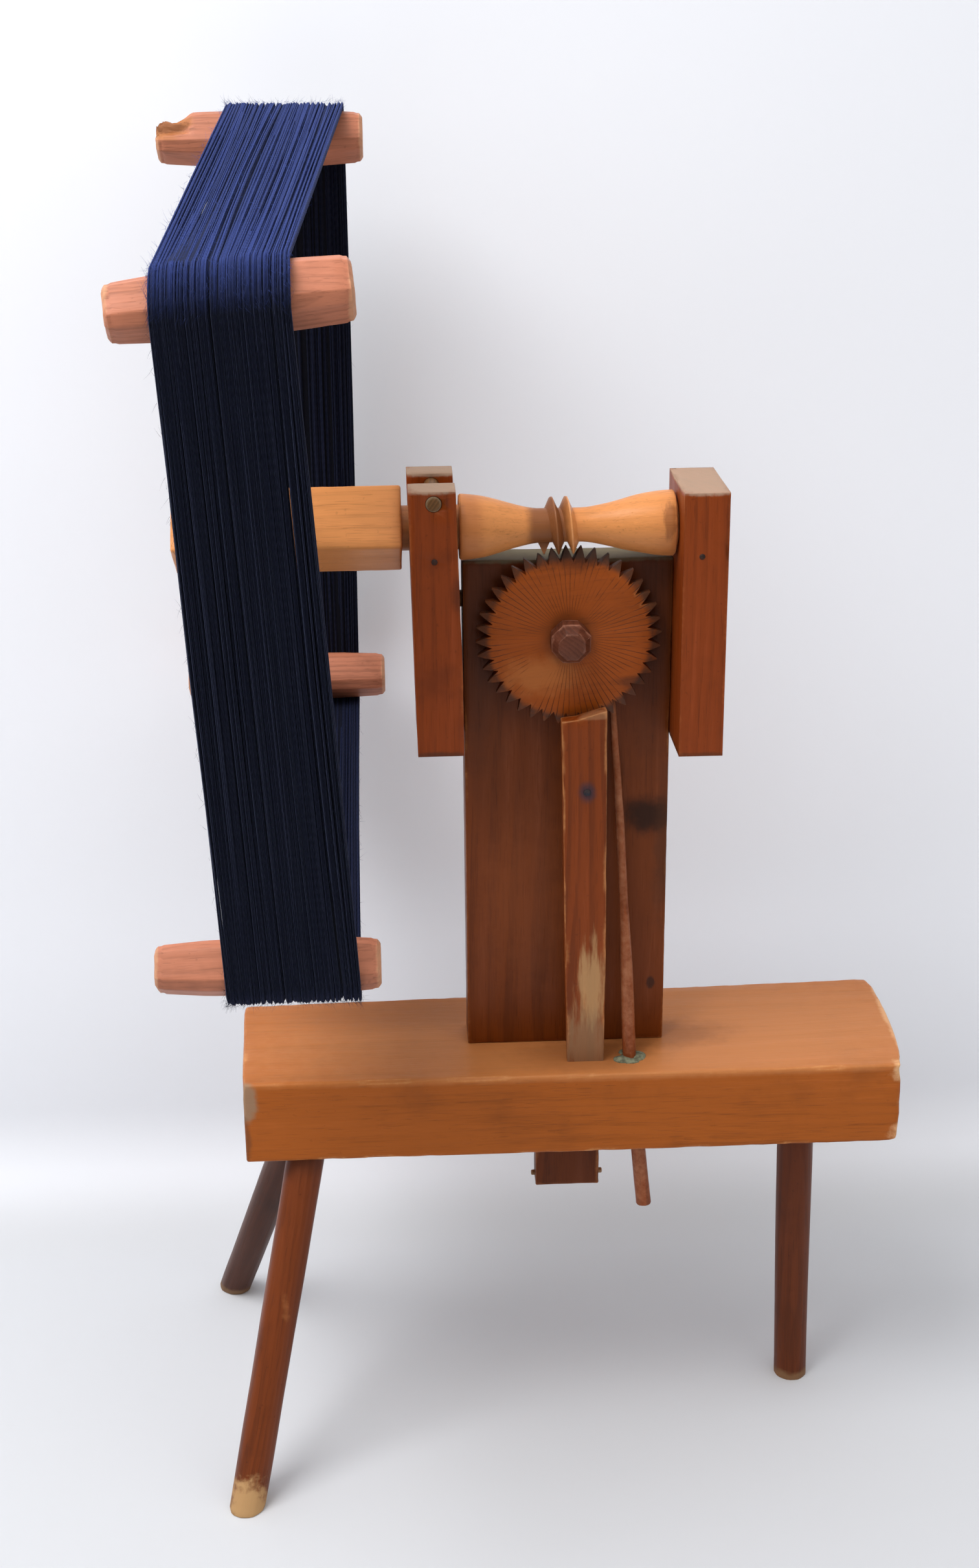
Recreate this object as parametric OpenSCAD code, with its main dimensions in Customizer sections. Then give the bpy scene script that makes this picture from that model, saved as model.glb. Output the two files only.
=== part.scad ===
// Clock reel for winding skeins, with a wooden worm, a forty-tooth wheel and a click rod.
// X runs along the axle, from the reel to the worm. Y runs from front to back. Z is up.
// The origin is on the floor, below the axle and midway along the whole object.

/* [Base plank] */
// Length of the plank along its front edge
base_len = 488; // [460:1:520]
// Depth of the plank at its left end
base_depth_left = 130; // [120:1:140]
// Depth of the plank at its right end
base_depth_right = 147; // [130:1:150]
// Thickness of the plank
base_thick = 64.5; // [55:0.5:75]
// Height of the plank's top face above the floor
base_top = 309.5; // [290:0.5:330]
// Distance from the axle's plane to the plank's front face
base_front = 49; // [46:1:56]
// How far the worn right end swells out
end_swell = 4; // [1:0.5:8]

/* [Legs] */
// Radius of a leg below the plank
leg_top_r = 14.2; // [13:0.1:16]
// Radius of a leg at the floor
leg_foot_r = 13; // [11:0.1:15]
// Radius of the tenon at the top of a leg
leg_tenon_r = 12; // [10:0.1:12.5]
// Depth of a leg's socket in the plank
leg_socket = 35; // [25:1:40]

/* [Upright post] */
// Width of the post
post_w = 148; // [140:1:150]
// Thickness of the post
post_thick = 32; // [26:1:36]
// Distance from the axle's plane back to the post's front face
post_front = 6; // [6:0.5:8]
// Height of the post's top above the floor
post_top = 686; // [670:1:687]
// Width of the tenon below the post
tenon_w = 49.5; // [40:0.5:60]
// Thickness of the tenon below the post
tenon_thick = 20; // [14:1:24]
// Height of the tenon's lower end above the floor
tenon_low = 180; // [160:1:220]

/* [Axle supports] */
// Thickness of a support along the axle
support_w = 32; // [28:1:36]
// Height of a support
support_h = 187.5; // [175:0.5:200]
// Distance from the axle's plane to the supports' front face
support_front = 42; // [38:1:46]
// Height of the left support's top above the floor
support_top = 746.5; // [746:0.5:752]
// How much lower the right support is set
support_drop = 4.5; // [0:0.5:8]

/* [Axle and worm] */
// Height of the axle above the floor
axle_h = 712; // [710:0.5:714]
// Radius of the axle's journals
journal_r = 15.5; // [13:0.1:16]
// Radius of the axle's neck, under the worm
neck_r = 11.9; // [11:0.1:12.2]
// Radius of the worm's crest
crest_r = 20.4; // [19:0.1:21]
// Largest radius of the two turned cones
cone_r = 22.8; // [20:0.1:23.5]
// Side of the square hub
hub_side = 45.5; // [42:0.5:48]
// Radial clearance of the running fits
running_gap = 0.06; // [0.02:0.01:0.1]

/* [Reel] */
// Distance from the axle to the centre of each crossbar
reel_r = 303; // [290:1:310]
// Distance from the post's centre to the reel's plane
reel_offset = 210; // [205:1:215]
// Angle of the top spoke above the level, at rest
reel_angle = 54.5; // [0:0.5:90]
// How far the front spoke stands from square to the top one, as the maker bored it
front_skew = 3; // [0:0.5:4]
// How far the back spoke stands from square to the top one
back_skew = 1.5; // [0:0.5:4]
// How far the front crossbar is turned on its spoke
front_bar_turn = 6; // [0:0.5:7]
// Length of the longest crossbar, at the back of the reel
bar_len_back = 160; // [150:1:165]
// Length of the top crossbar
bar_len_top = 148; // [130:1:160]
// Length of the front crossbar
bar_len_front = 138; // [130:1:160]
// Length of the bottom crossbar
bar_len_bottom = 146; // [130:1:160]
// Half the depth of a crossbar at its middle
bar_half = 17.5; // [15:0.5:18]
// Thickness of the wound yarn
skein_thick = 5; // [3:0.5:8]

/* [Counting wheel] */
// Number of teeth, one for each turn of the reel
tooth_count = 40; // [40:1:40]
// Radius at the tips of the teeth
tip_r = 65.3; // [64.5:0.1:65.5]
// Radius at the roots of the teeth
root_r = 54.9; // [53:0.1:57]
// Thickness of the wheel
wheel_thick = 11; // [8:0.5:12]
// Height of the wheel's centre above the floor
wheel_h = 633.2; // [632.8:0.1:633.6]

/* [Click rod and board] */
// Width of the sounding board at its foot
board_foot_w = 27; // [24:0.5:30]
// Thickness of the sounding board
board_thick = 12; // [8:1:14]
// Radius of the click rod at its foot
rod_foot_r = 4.7; // [4:0.1:5.2]
// Radius of the click rod at its tip
rod_tip_r = 1.9; // [1.5:0.1:2]

/* [Hidden] */
$fn = 64;

// Clearance between two pieces of wood that are fixed together
seat = 0.05;
// The front left corner of the plank, and its other corners, from the post's centre
base_left = -241.5;
base_right = base_left + base_len;
base_skew = 5.5;
base_low = base_top - base_thick;
base_back_left = base_depth_left - base_front;
base_back_right = base_depth_right - base_front;
// The post's centre line, which puts the origin midway between the reel's and the plank's ends
post_x = (reel_offset + bar_len_back / 2 - base_right - base_skew) / 2;
post_back = post_front + post_thick;
tenon_x = 2.5;
tenon_front = post_front + 6;

// Feet on the floor and the points where the legs' axes cross the plank's lower face
foot_front_left = [-248, -131, 0];
foot_back_left = [-274, 160, 0];
foot_right = [185.5, 9, 0];
neck_front_left = [-197, -27.5, base_low];
neck_back_left = [-200.5, 38.5, base_low];
neck_right = [182.5, 22, base_low];

support_back = post_back;
support_gap = 2;
support_lean = 3.5;
support_straight = 55;
left_inner = -post_w / 2 - support_gap;
left_outer = left_inner - support_w;
left_low = support_top - support_h;
right_inner = post_w / 2 + 0.2;
right_outer = right_inner + support_w - 1;
right_top = support_top - support_drop;
right_low = right_top - support_h;
dowel_r = 6;
dowel_heights = [585, 655];
dowel_y = post_front + post_thick / 2;
dowel_depth = 24;
keeper_r = 5.4;
keeper_x = -94.5;
keeper_h = support_top - 8.5;
keeper_end = support_back - 3;
nail_r = 1.5;
nail_h = axle_h - 13.7;
nail_right_x = 87;

// Stations along the axle, from the post's centre
hub_left = -272;
hub_right = -116;
left_cone_start = -76.5;
left_cone_end = -22;
right_cone_start = 9;
right_cone_end = 73;
axle_end = 103;
groove_w = 8;
cone_steps = 10;

// The worm's pitch makes one turn of the reel pass exactly one tooth
mesh_r = 64.9;
worm_pitch = 2 * PI * mesh_r / tooth_count;
worm_start = 250;
worm_stop = 1080;
worm_x = -17.3;
worm_step = 10;
crest_half = 0.4;
thread_half = 3.4;
thread_sink = 1.5;

wheel_back = 1;
wheel_mid = wheel_back - wheel_thick / 2;
wheel_bore = 9;
mesh_angle = 270 - asin(-wheel_mid / crest_r);
groove_x = worm_x + worm_pitch * ((mesh_angle - 270) / 360 + 1.5);
wheel_phase = groove_x / mesh_r * 180 / PI;
pin_head_r = 12.5;
pin_head_len = 25;
washer_r = 17;
peg_r = 3;
peg_circle = 54;
peg_angle = 200;
peg_sunk = 6;

hub_grip = 13.5;
spoke_tenon_r = 8;
bar_grip = 16;
bar_end_half = 15;
bar_chamfer = 6.5;
bar_side = 16.5;
// Each spoke's angle, and the clearance below its shoulder where the hub's face isn't square to it
spoke_angles = [reel_angle, reel_angle + 90 - front_skew, reel_angle + 180, reel_angle + 270 - back_skew];
shoulder_gap = 0.6;

// Skein: the radius it bends to at each bar, and its edges from the reel's plane at each bar
skein_bend = 20.7;
skein_left = [-24, -43, -27, -26];
skein_right = [60, 34, 59, 58];
bend_steps = 6;

board_x = -1.4;
board_front = -28;
board_back = board_front + board_thick;
board_sunk = 20;
board_top_left = [-7, 577];
board_top_right = [25.5, 585];

rod_foot = [45.5, -24, base_top];
rod_tip = [32.2, 3.6, 583];
rod_tail_end = [57, -35, 190];
rod_tail_r = 5.8;
rod_ball_gap = 0.4;
packing_r = 11;
packing_h = 4;

function unit(v) = v / norm(v);
function lerp(a, b, t) = a + (b - a) * t;

// A straight round bar between two points, tapering from r1 to r2
module rod_between(a, b, r1, r2) {
    d = b - a;
    translate(a)
        rotate([0, acos(d[2] / norm(d)), atan2(d[1], d[0])])
            hull()
                cylinder(h = norm(d), r1 = r1, r2 = r2, $fn = 40);
}

// A straight bar with ball ends
module ball_bar(a, b, r1, r2) {
    hull() {
        translate(a)
            sphere(r = r1, $fn = 20);
        translate(b)
            sphere(r = r2, $fn = 20);
    }
}

// Moves what is drawn from the post's centre line to the part's own origin
module placed() {
    translate([post_x, 0, 0])
        children();
}

// Turns what is drawn along Z to lie along the axle, at the axle's height
module along_axle() {
    translate([0, 0, axle_h])
        rotate([0, 90, 0])
            children();
}

// Draws at place n of the reel: X along the axle, Z outwards along the spoke
module reel_place(n) {
    translate([-reel_offset, 0, axle_h])
        rotate([spoke_angles[n] - 90, 0, 0])
            children();
}

// Points along the plank's worn right end, as a shallow arc
function end_arc(steps) = [
    for (i = [0 : steps])
        let (t = i / steps)
            [base_right + base_skew * t + end_swell * sin(180 * t),
             lerp(-base_front, base_back_right, t)]
];

module base_outline() {
    polygon(concat(
        [[base_left, -base_front]],
        end_arc(12),
        [[base_left - base_skew, base_back_left]]
    ));
}

module leg_socket_hole(foot, neck) {
    tip = neck + unit(neck - foot) * (leg_socket + 0.5);
    start = neck - unit(neck - foot) * 20;
    rod_between(start, tip, leg_tenon_r + seat, leg_tenon_r + seat);
}

module base_plank() {
    color([0.62, 0.36, 0.15])
        placed()
            difference() {
                translate([0, 0, base_low])
                    linear_extrude(base_thick)
                        base_outline();
                leg_socket_hole(foot_front_left, neck_front_left);
                leg_socket_hole(foot_back_left, neck_back_left);
                leg_socket_hole(foot_right, neck_right);
                translate([tenon_x - tenon_w / 2 - seat, tenon_front - seat, base_low - 1])
                    cube([tenon_w + 2 * seat, tenon_thick + 2 * seat, base_thick + 2]);
                translate([board_x - seat, board_front - seat, base_top - board_sunk - seat])
                    cube([board_foot_w + 2 * seat, board_thick + 2 * seat, board_sunk + 1]);
                rod_between(
                    rod_tail_end,
                    rod_foot + unit(rod_foot - rod_tail_end) * 12,
                    rod_tail_r + seat,
                    rod_tail_r + seat
                );
            }
}

// A leg: tapered shaft cut flat at the floor and at the plank, with a round tenon above
module leg(foot, neck) {
    up = unit(neck - foot);
    color([0.42, 0.22, 0.13])
        placed()
            union() {
                intersection() {
                    rod_between(foot - up * 30, neck + up * 30, leg_foot_r, leg_top_r);
                    translate([-500, -500, 0])
                        cube([1000, 1000, base_low - seat]);
                }
                rod_between(neck - up * 8, neck + up * leg_socket, leg_tenon_r, leg_tenon_r);
            }
}

module leg_front_left() {
    leg(foot_front_left, neck_front_left);
}

module leg_back_left() {
    leg(foot_back_left, neck_back_left);
}

module leg_right() {
    leg(foot_right, neck_right);
}

// Four short dowels that hold the supports to the post's edges
module dowel_set(r, spare) {
    for (h = dowel_heights) {
        translate([left_inner - dowel_depth - spare, dowel_y, h])
            rotate([0, 90, 0])
                cylinder(h = support_gap + 2 * dowel_depth + 2 * spare, r = r);
        translate([right_inner - dowel_depth - spare, dowel_y, h])
            rotate([0, 90, 0])
                cylinder(h = 2 * dowel_depth + 2 * spare, r = r);
    }
}

module upright_post() {
    color([0.48, 0.26, 0.11])
        placed()
            difference() {
                union() {
                    translate([-post_w / 2, post_front, base_top + seat])
                        cube([post_w, post_thick, post_top - base_top - seat]);
                    translate([tenon_x - tenon_w / 2, tenon_front, tenon_low])
                        cube([tenon_w, tenon_thick, base_top - tenon_low + 10]);
                }
                dowel_set(dowel_r + seat, 0.5);
                translate([0, post_back + 1, wheel_h])
                    rotate([90, 0, 0])
                        cylinder(h = post_thick + 2, r = wheel_bore + seat);
                tenon_peg_shape(seat);
            }
}

module tenon_peg_shape(spare) {
    translate([tenon_x - tenon_w / 2 - 3, tenon_front + 7, tenon_low + 8])
        rotate([0, 90, 0])
            cylinder(h = tenon_w + 6, r = 2.2 + spare);
}

module tenon_peg() {
    color([0.5, 0.36, 0.2])
        placed()
            tenon_peg_shape(0);
}

// The left support is forked: the axle drops into its slot from above
module left_support() {
    color([0.42, 0.21, 0.1])
        placed()
            difference() {
                translate([0, support_back, left_low])
                    rotate([90, 0, 0])
                        linear_extrude(support_front + support_back)
                            polygon([
                                [left_outer, 0],
                                [left_inner, 0],
                                [left_inner, support_straight],
                                [left_inner - support_lean, support_h],
                                [left_outer - support_lean, support_h]
                            ]);
                translate([left_outer - 20, 0, axle_h])
                    rotate([0, 90, 0])
                        cylinder(h = support_w + 40, r = journal_r + running_gap);
                translate([left_outer - 20, -journal_r - running_gap, axle_h])
                    cube([support_w + 40, 2 * (journal_r + running_gap), support_h]);
                dowel_set(dowel_r + seat, 0.5);
                translate([keeper_x, keeper_end + 0.5, keeper_h])
                    rotate([90, 0, 0])
                        cylinder(h = support_front + support_back + 10, r = keeper_r + running_gap);
                nail_shape(keeper_x, 18.2, nail_r + seat);
            }
}

module nail_shape(x, depth, r) {
    translate([x, -support_front + depth, nail_h])
        rotate([90, 0, 0])
            cylinder(h = depth + 0.8, r = r);
}

module right_support() {
    color([0.42, 0.21, 0.1])
        placed()
            difference() {
                translate([right_inner, -support_front, right_low])
                    cube([right_outer - right_inner, support_front + support_back, support_h]);
                translate([right_inner - 5, 0, axle_h])
                    rotate([0, 90, 0])
                        cylinder(h = support_w + 10, r = journal_r + running_gap);
                dowel_set(dowel_r + seat, 0.5);
                nail_shape(nail_right_x, support_front + 25.2, nail_r + seat);
            }
}

module support_dowels() {
    color([0.55, 0.35, 0.2])
        placed()
            dowel_set(dowel_r, 0);
}

// The right nail crosses a groove in the journal, and keeps the axle from sliding out
module support_nails() {
    color([0.12, 0.09, 0.08])
        placed()
            union() {
                nail_shape(keeper_x, 18, nail_r);
                nail_shape(nail_right_x, support_front + 25, nail_r);
            }
}

module keeper_pin() {
    color([0.4, 0.25, 0.13])
        placed()
            translate([keeper_x, keeper_end, keeper_h])
                rotate([90, 0, 0])
                    cylinder(h = support_front + keeper_end + 0.8, r = keeper_r);
}

// Radius of a turned cone at part t of its length, hollowed towards the neck
function cone_profile(t) = neck_r + (cone_r - neck_r) * pow(sin(90 * t), 1.5);

function worm_ring(a) =
    let (
        x = worm_x + worm_pitch * (a - 270) / 360,
        inner = neck_r - thread_sink
    )
    [
        for (q = [[-thread_half, inner], [-crest_half, crest_r], [crest_half, crest_r], [thread_half, inner]])
            [x + q[0], q[1] * cos(a), q[1] * sin(a)]
    ];

// The worm's thread: a pointed ridge swept along a right-handed helix
module worm_thread() {
    rings = [for (a = [worm_start : worm_step : worm_stop]) worm_ring(a)];
    last = len(rings) - 1;
    sides = 4;
    walls = [
        for (i = [0 : last - 1], j = [0 : sides - 1])
            let (k = (j + 1) % sides)
                each [
                    [sides * i + j, sides * i + k, sides * (i + 1) + k],
                    [sides * i + j, sides * (i + 1) + k, sides * (i + 1) + j]
                ]
    ];
    first_cap = [[3, 2, 1, 0]];
    last_cap = [[for (j = [0 : sides - 1]) sides * last + j]];
    polyhedron(
        points = [for (ring = rings) each ring],
        faces = concat(walls, first_cap, last_cap),
        convexity = 6
    );
}

module axle_profile() {
    polygon(concat(
        [[0, hub_right], [journal_r, hub_right], [journal_r, left_cone_start]],
        [for (i = [cone_steps : -1 : 0])
            [cone_profile(i / cone_steps), lerp(left_cone_end, left_cone_start, i / cone_steps)]],
        [for (i = [0 : cone_steps])
            [cone_profile(i / cone_steps), lerp(right_cone_start, right_cone_end, i / cone_steps)]],
        [
            [journal_r, right_cone_end],
            [journal_r, nail_right_x - groove_w / 2],
            [neck_r, nail_right_x - groove_w / 2],
            [neck_r, nail_right_x + groove_w / 2],
            [journal_r, nail_right_x + groove_w / 2],
            [journal_r, axle_end],
            [0, axle_end]
        ]
    ));
}

// The axle is turned down from the hub's own billet, and the worm is cut on its neck
module worm_axle() {
    color([0.78, 0.5, 0.3])
        placed()
            union() {
                along_axle()
                    rotate_extrude()
                        axle_profile();
                translate([0, 0, axle_h])
                    worm_thread();
            }
}

// The square end of the same billet, with a socket in each face for a spoke
module axle_hub() {
    color([0.78, 0.5, 0.3])
        placed()
            difference() {
                translate([hub_left, 0, axle_h])
                    rotate([reel_angle, 0, 0])
                        translate([0, -hub_side / 2, -hub_side / 2])
                            cube([hub_right - hub_left, hub_side, hub_side]);
                for (n = [0 : 3])
                    reel_place(n)
                        translate([0, 0, hub_side / 2 - hub_grip - 0.3])
                            cylinder(h = hub_grip + 5, r = spoke_tenon_r + seat);
            }
}

// A spoke is turned with a tenon at each end
module spoke(n) {
    color([0.6, 0.36, 0.22])
        placed()
            reel_place(n)
                rotate_extrude()
                    polygon([
                        [0, hub_side / 2 - hub_grip],
                        [spoke_tenon_r, hub_side / 2 - hub_grip],
                        [spoke_tenon_r, hub_side / 2 + shoulder_gap],
                        [10, hub_side / 2 + shoulder_gap],
                        [9, reel_r - bar_half - seat],
                        [spoke_tenon_r, reel_r - bar_half - seat],
                        [spoke_tenon_r, reel_r - bar_half + bar_grip],
                        [0, reel_r - bar_half + bar_grip]
                    ]);
}

module spoke_top() {
    spoke(0);
}

module spoke_front() {
    spoke(1);
}

module spoke_bottom() {
    spoke(2);
}

module spoke_back() {
    spoke(3);
}

// A thin slice across a crossbar: a square with its corners cut off
module bar_slice(x, deep, wide, cut) {
    translate([x, 0, 0])
        rotate([90, 0, 90])
            linear_extrude(0.5)
                polygon([
                    for (s = [[1, 1], [-1, 1], [-1, -1], [1, -1]])
                        each s[0] * s[1] > 0
                            ? [[s[0] * wide, s[1] * (deep - cut)], [s[0] * (wide - cut), s[1] * deep]]
                            : [[s[0] * (wide - cut), s[1] * deep], [s[0] * wide, s[1] * (deep - cut)]]
                ]);
}

// A crossbar is thickest at its middle and shaved thinner towards rounded ends
module crossbar(n, length) {
    end_x = length / 2;
    color([0.7, 0.42, 0.3])
        placed()
            reel_place(n)
                difference() {
                    translate([0, 0, reel_r])
                        rotate([0, 0, n == 1 ? front_bar_turn : 0])
                        for (s = [-1, 1])
                            hull() {
                                bar_slice(-0.25, bar_half, bar_side, bar_chamfer);
                                bar_slice(s * end_x * 0.55 - 0.25, bar_half - 0.7, bar_side - 0.4, bar_chamfer);
                                bar_slice(s * (end_x - 4) - 0.25, bar_end_half, bar_end_half, bar_chamfer - 1);
                                bar_slice(s * (end_x - 0.25) - 0.25, bar_end_half - 3, bar_end_half - 3, bar_chamfer);
                            }
                    translate([0, 0, reel_r - bar_half - 1])
                        cylinder(h = bar_grip + 1.3, r = spoke_tenon_r + seat);
                }
}

module crossbar_top() {
    crossbar(0, bar_len_top);
}

module crossbar_front() {
    crossbar(1, bar_len_front);
}

module crossbar_bottom() {
    crossbar(2, bar_len_bottom);
}

module crossbar_back() {
    crossbar(3, bar_len_back);
}

// Outline of the wheel: pointed teeth with a small flat at each tip and root
module wheel_outline() {
    pitch = 360 / tooth_count;
    polygon([
        for (i = [0 : tooth_count - 1])
            let (a = 90 - wheel_phase + i * pitch)
                each [
                    root_r * [cos(a - pitch * 0.47), sin(a - pitch * 0.47)],
                    tip_r * [cos(a - 0.35), sin(a - 0.35)],
                    tip_r * [cos(a + 0.35), sin(a + 0.35)],
                    root_r * [cos(a + pitch * 0.47), sin(a + pitch * 0.47)]
                ]
    ]);
}

module strike_peg_shape(spare) {
    translate([peg_circle * cos(peg_angle), wheel_back + 4.2, wheel_h + peg_circle * sin(peg_angle)])
        rotate([90, 0, 0])
            cylinder(h = 4.2 + peg_sunk + spare, r = peg_r + spare);
}

module wheel() {
    color([0.65, 0.36, 0.16])
        placed()
            difference() {
                translate([0, wheel_back, wheel_h])
                    rotate([90, 0, 0])
                        linear_extrude(wheel_thick)
                            wheel_outline();
                translate([0, wheel_back + 1, wheel_h])
                    rotate([90, 0, 0])
                        cylinder(h = wheel_thick + 2, r = wheel_bore + running_gap);
                strike_peg_shape(seat);
            }
}

// The pin is fixed in the post, and its eight-sided head keeps the wheel on
module wheel_pin() {
    head_y = wheel_back - wheel_thick - 0.3;
    color([0.4, 0.24, 0.2])
        placed()
            translate([0, 0, wheel_h])
                rotate([90, 0, 0])
                    union() {
                        translate([0, 0, -post_back])
                            cylinder(h = post_back - head_y + 2, r = wheel_bore);
                        translate([0, 0, -head_y])
                            hull() {
                                cylinder(h = 0.5, r = pin_head_r, $fn = 8);
                                translate([0, 0, pin_head_len * 0.55])
                                    cylinder(h = 0.5, r = pin_head_r, $fn = 8);
                                translate([0, 0, pin_head_len - 0.5])
                                    cylinder(h = 0.5, r = pin_head_r * 0.45, $fn = 8);
                            }
                    }
}

module wheel_washer() {
    color([0.3, 0.18, 0.1])
        placed()
            translate([0, post_front - 0.05, wheel_h])
                rotate([90, 0, 0])
                    difference() {
                        cylinder(h = post_front - wheel_back - 0.35, r = washer_r);
                        translate([0, 0, -1])
                            cylinder(h = 10, r = wheel_bore + seat);
                    }
}

module strike_peg() {
    color([0.35, 0.2, 0.12])
        placed()
            strike_peg_shape(0);
}

module sounding_board() {
    color([0.5, 0.25, 0.11])
        placed()
            translate([0, board_back, 0])
                rotate([90, 0, 0])
                    linear_extrude(board_thick)
                        polygon([
                            [board_x, base_top - board_sunk],
                            [board_x + board_foot_w, base_top - board_sunk],
                            [board_x + board_foot_w, base_top],
                            [26.5, 403],
                            board_top_right,
                            [14.7, 581.8],
                            [4.2, 578.4],
                            board_top_left,
                            [-3.6, 403],
                            [board_x, base_top]
                        ]);
}

module board_nail() {
    color([0.13, 0.1, 0.1])
        placed()
            translate([11.5, board_front - 0.02, 524])
                rotate([90, 0, 0])
                    cylinder(h = 0.9, r = 2.6);
}

// The springy rod above the plank, which bows to the left as it rises
module click_rod() {
    ball = rod_foot + [0, 0, rod_foot_r + rod_ball_gap];
    bow = lerp(ball, rod_tip, 0.5) + [1.2, 0, 0];
    bow_r = lerp(rod_foot_r, rod_tip_r, 0.5);
    color([0.42, 0.22, 0.14])
        placed()
            union() {
                ball_bar(ball, bow, rod_foot_r, bow_r);
                ball_bar(bow, rod_tip, bow_r, rod_tip_r);
            }
}

// The rod's lower end, fast in the plank and showing below it
module rod_tail() {
    color([0.42, 0.22, 0.14])
        placed()
            intersection() {
                rod_between(
                    rod_tail_end,
                    rod_foot + unit(rod_foot - rod_tail_end) * 10,
                    rod_tail_r,
                    rod_tail_r
                );
                translate([-500, -500, 0])
                    cube([1000, 1000, base_top]);
            }
}

module rod_packing() {
    color([0.45, 0.47, 0.38])
        placed()
            translate([rod_foot[0], rod_foot[1], base_top + seat])
                difference() {
                    cylinder(h = packing_h, r1 = packing_r, r2 = packing_r - 3.5);
                    translate([0, 0, -1])
                        cylinder(h = packing_h + 2, r = rod_foot_r + 0.9);
                }
}

// The way that the yarn faces between bar n and the next, and the angles it bends through at bar n
function span_angle(n) = (spoke_angles[n] + (n == 3 ? spoke_angles[0] + 360 : spoke_angles[n + 1])) / 2;
function bend_start(n) = n == 0 ? span_angle(3) - 360 : span_angle(n - 1);

// A corner of the skein at bar n: x along the axle, r from the bar's centre, at angle a
function skein_point(n, a, x, r) =
    let (
        at_bar = spoke_angles[n],
        slip = n == 1 ? x * tan(front_bar_turn) : 0
    )
    [
        x,
        reel_r * cos(at_bar) + r * cos(a) + slip * sin(at_bar),
        reel_r * sin(at_bar) + r * sin(a) - slip * cos(at_bar)
    ];

// One ring of the skein: its inner and outer faces at angle a round bar n
function skein_ring(n, a, left, right) = [
    skein_point(n, a, left, skein_bend),
    skein_point(n, a, left, skein_bend + skein_thick),
    skein_point(n, a, right, skein_bend + skein_thick),
    skein_point(n, a, right, skein_bend)
];

// The wound yarn: a flat band that passes round all four crossbars
module skein() {
    rings = [
        for (n = [0 : 3], i = [0 : bend_steps])
            skein_ring(
                n,
                lerp(bend_start(n), span_angle(n), i / bend_steps),
                skein_left[n],
                skein_right[n]
            )
    ];
    count = len(rings);
    sides = 4;
    walls = [
        for (i = [0 : count - 1], j = [0 : sides - 1])
            let (next = (i + 1) % count, k = (j + 1) % sides)
                each [
                    [sides * i + j, sides * next + k, sides * i + k],
                    [sides * i + j, sides * next + j, sides * next + k]
                ]
    ];
    color([0.1, 0.14, 0.32])
        placed()
            translate([-reel_offset, 0, axle_h])
                polyhedron(points = [for (ring = rings) each ring], faces = walls, convexity = 6);
}

base_plank();
leg_front_left();
leg_back_left();
leg_right();
upright_post();
tenon_peg();
left_support();
right_support();
support_dowels();
support_nails();
keeper_pin();
worm_axle();
axle_hub();
spoke_top();
spoke_front();
spoke_bottom();
spoke_back();
crossbar_top();
crossbar_front();
crossbar_bottom();
crossbar_back();
wheel();
wheel_pin();
wheel_washer();
strike_peg();
sounding_board();
board_nail();
click_rod();
rod_tail();
rod_packing();
skein();
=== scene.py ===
"""Finished look of a wooden clock reel: plank, legs, post, worm axle, reel, counting wheel and yarn."""

import math
import random

import bmesh
import bpy
import numpy as np
from mathutils import Matrix, Vector, noise


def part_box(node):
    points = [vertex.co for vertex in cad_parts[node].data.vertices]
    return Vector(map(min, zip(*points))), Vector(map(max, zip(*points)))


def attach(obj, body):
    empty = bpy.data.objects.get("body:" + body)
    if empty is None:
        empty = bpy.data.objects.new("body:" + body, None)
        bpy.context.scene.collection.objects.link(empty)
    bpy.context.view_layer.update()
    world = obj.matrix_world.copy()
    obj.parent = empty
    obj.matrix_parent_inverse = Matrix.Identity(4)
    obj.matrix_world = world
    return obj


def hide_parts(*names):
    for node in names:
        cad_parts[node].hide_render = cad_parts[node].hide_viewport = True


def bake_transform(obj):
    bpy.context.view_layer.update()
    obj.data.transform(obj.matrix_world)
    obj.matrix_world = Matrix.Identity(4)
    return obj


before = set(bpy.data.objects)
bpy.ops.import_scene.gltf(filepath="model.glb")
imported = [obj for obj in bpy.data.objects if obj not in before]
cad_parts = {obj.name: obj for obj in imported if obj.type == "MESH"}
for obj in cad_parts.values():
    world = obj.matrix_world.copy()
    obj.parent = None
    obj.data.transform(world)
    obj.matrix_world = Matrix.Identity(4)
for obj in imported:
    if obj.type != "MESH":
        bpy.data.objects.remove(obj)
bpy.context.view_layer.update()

bl_info = {
    "name": "Clock Reel",
    "version": (1, 0, 0),
    "blender": (4, 5, 0),
    "location": "View3D > Sidebar > Clock Reel",
    "description": "Builds the worn wood and wound yarn of a clock reel round its packed frame",
    "category": "Object",
}

MM = 0.001
POST_X = 19.0
AXLE_H = 712.0
REEL_X = -210.0
REEL_R = 303.0
REEL_ANGLE = 54.5
SPOKE_TURN = (0.0, 87.0, 180.0, 268.5)
FRONT_BAR_TURN = math.radians(6)
BASE_LOW = 245.0
BASE_TOP = 309.5
WORM_PITCH = 10.195
WORM_MIDDLE = -17.3
WHEEL_H = 633.2
TEETH = 40


# ---------------------------------------------------------------- settings

def linear(r, g, b):
    """A colour given as 0 to 255 screen values, as the linear values that a shader wants."""
    def one(v):
        v = v / 255
        return v / 12.92 if v <= 0.04045 else ((v + 0.055) / 1.055) ** 2.4
    return (one(r), one(g), one(b))


def colour_setting(label, told, screen):
    return bpy.props.FloatVectorProperty(
        name=label, description=told, subtype="COLOR", size=3, min=0, max=1, default=linear(*screen)
    )


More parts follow.
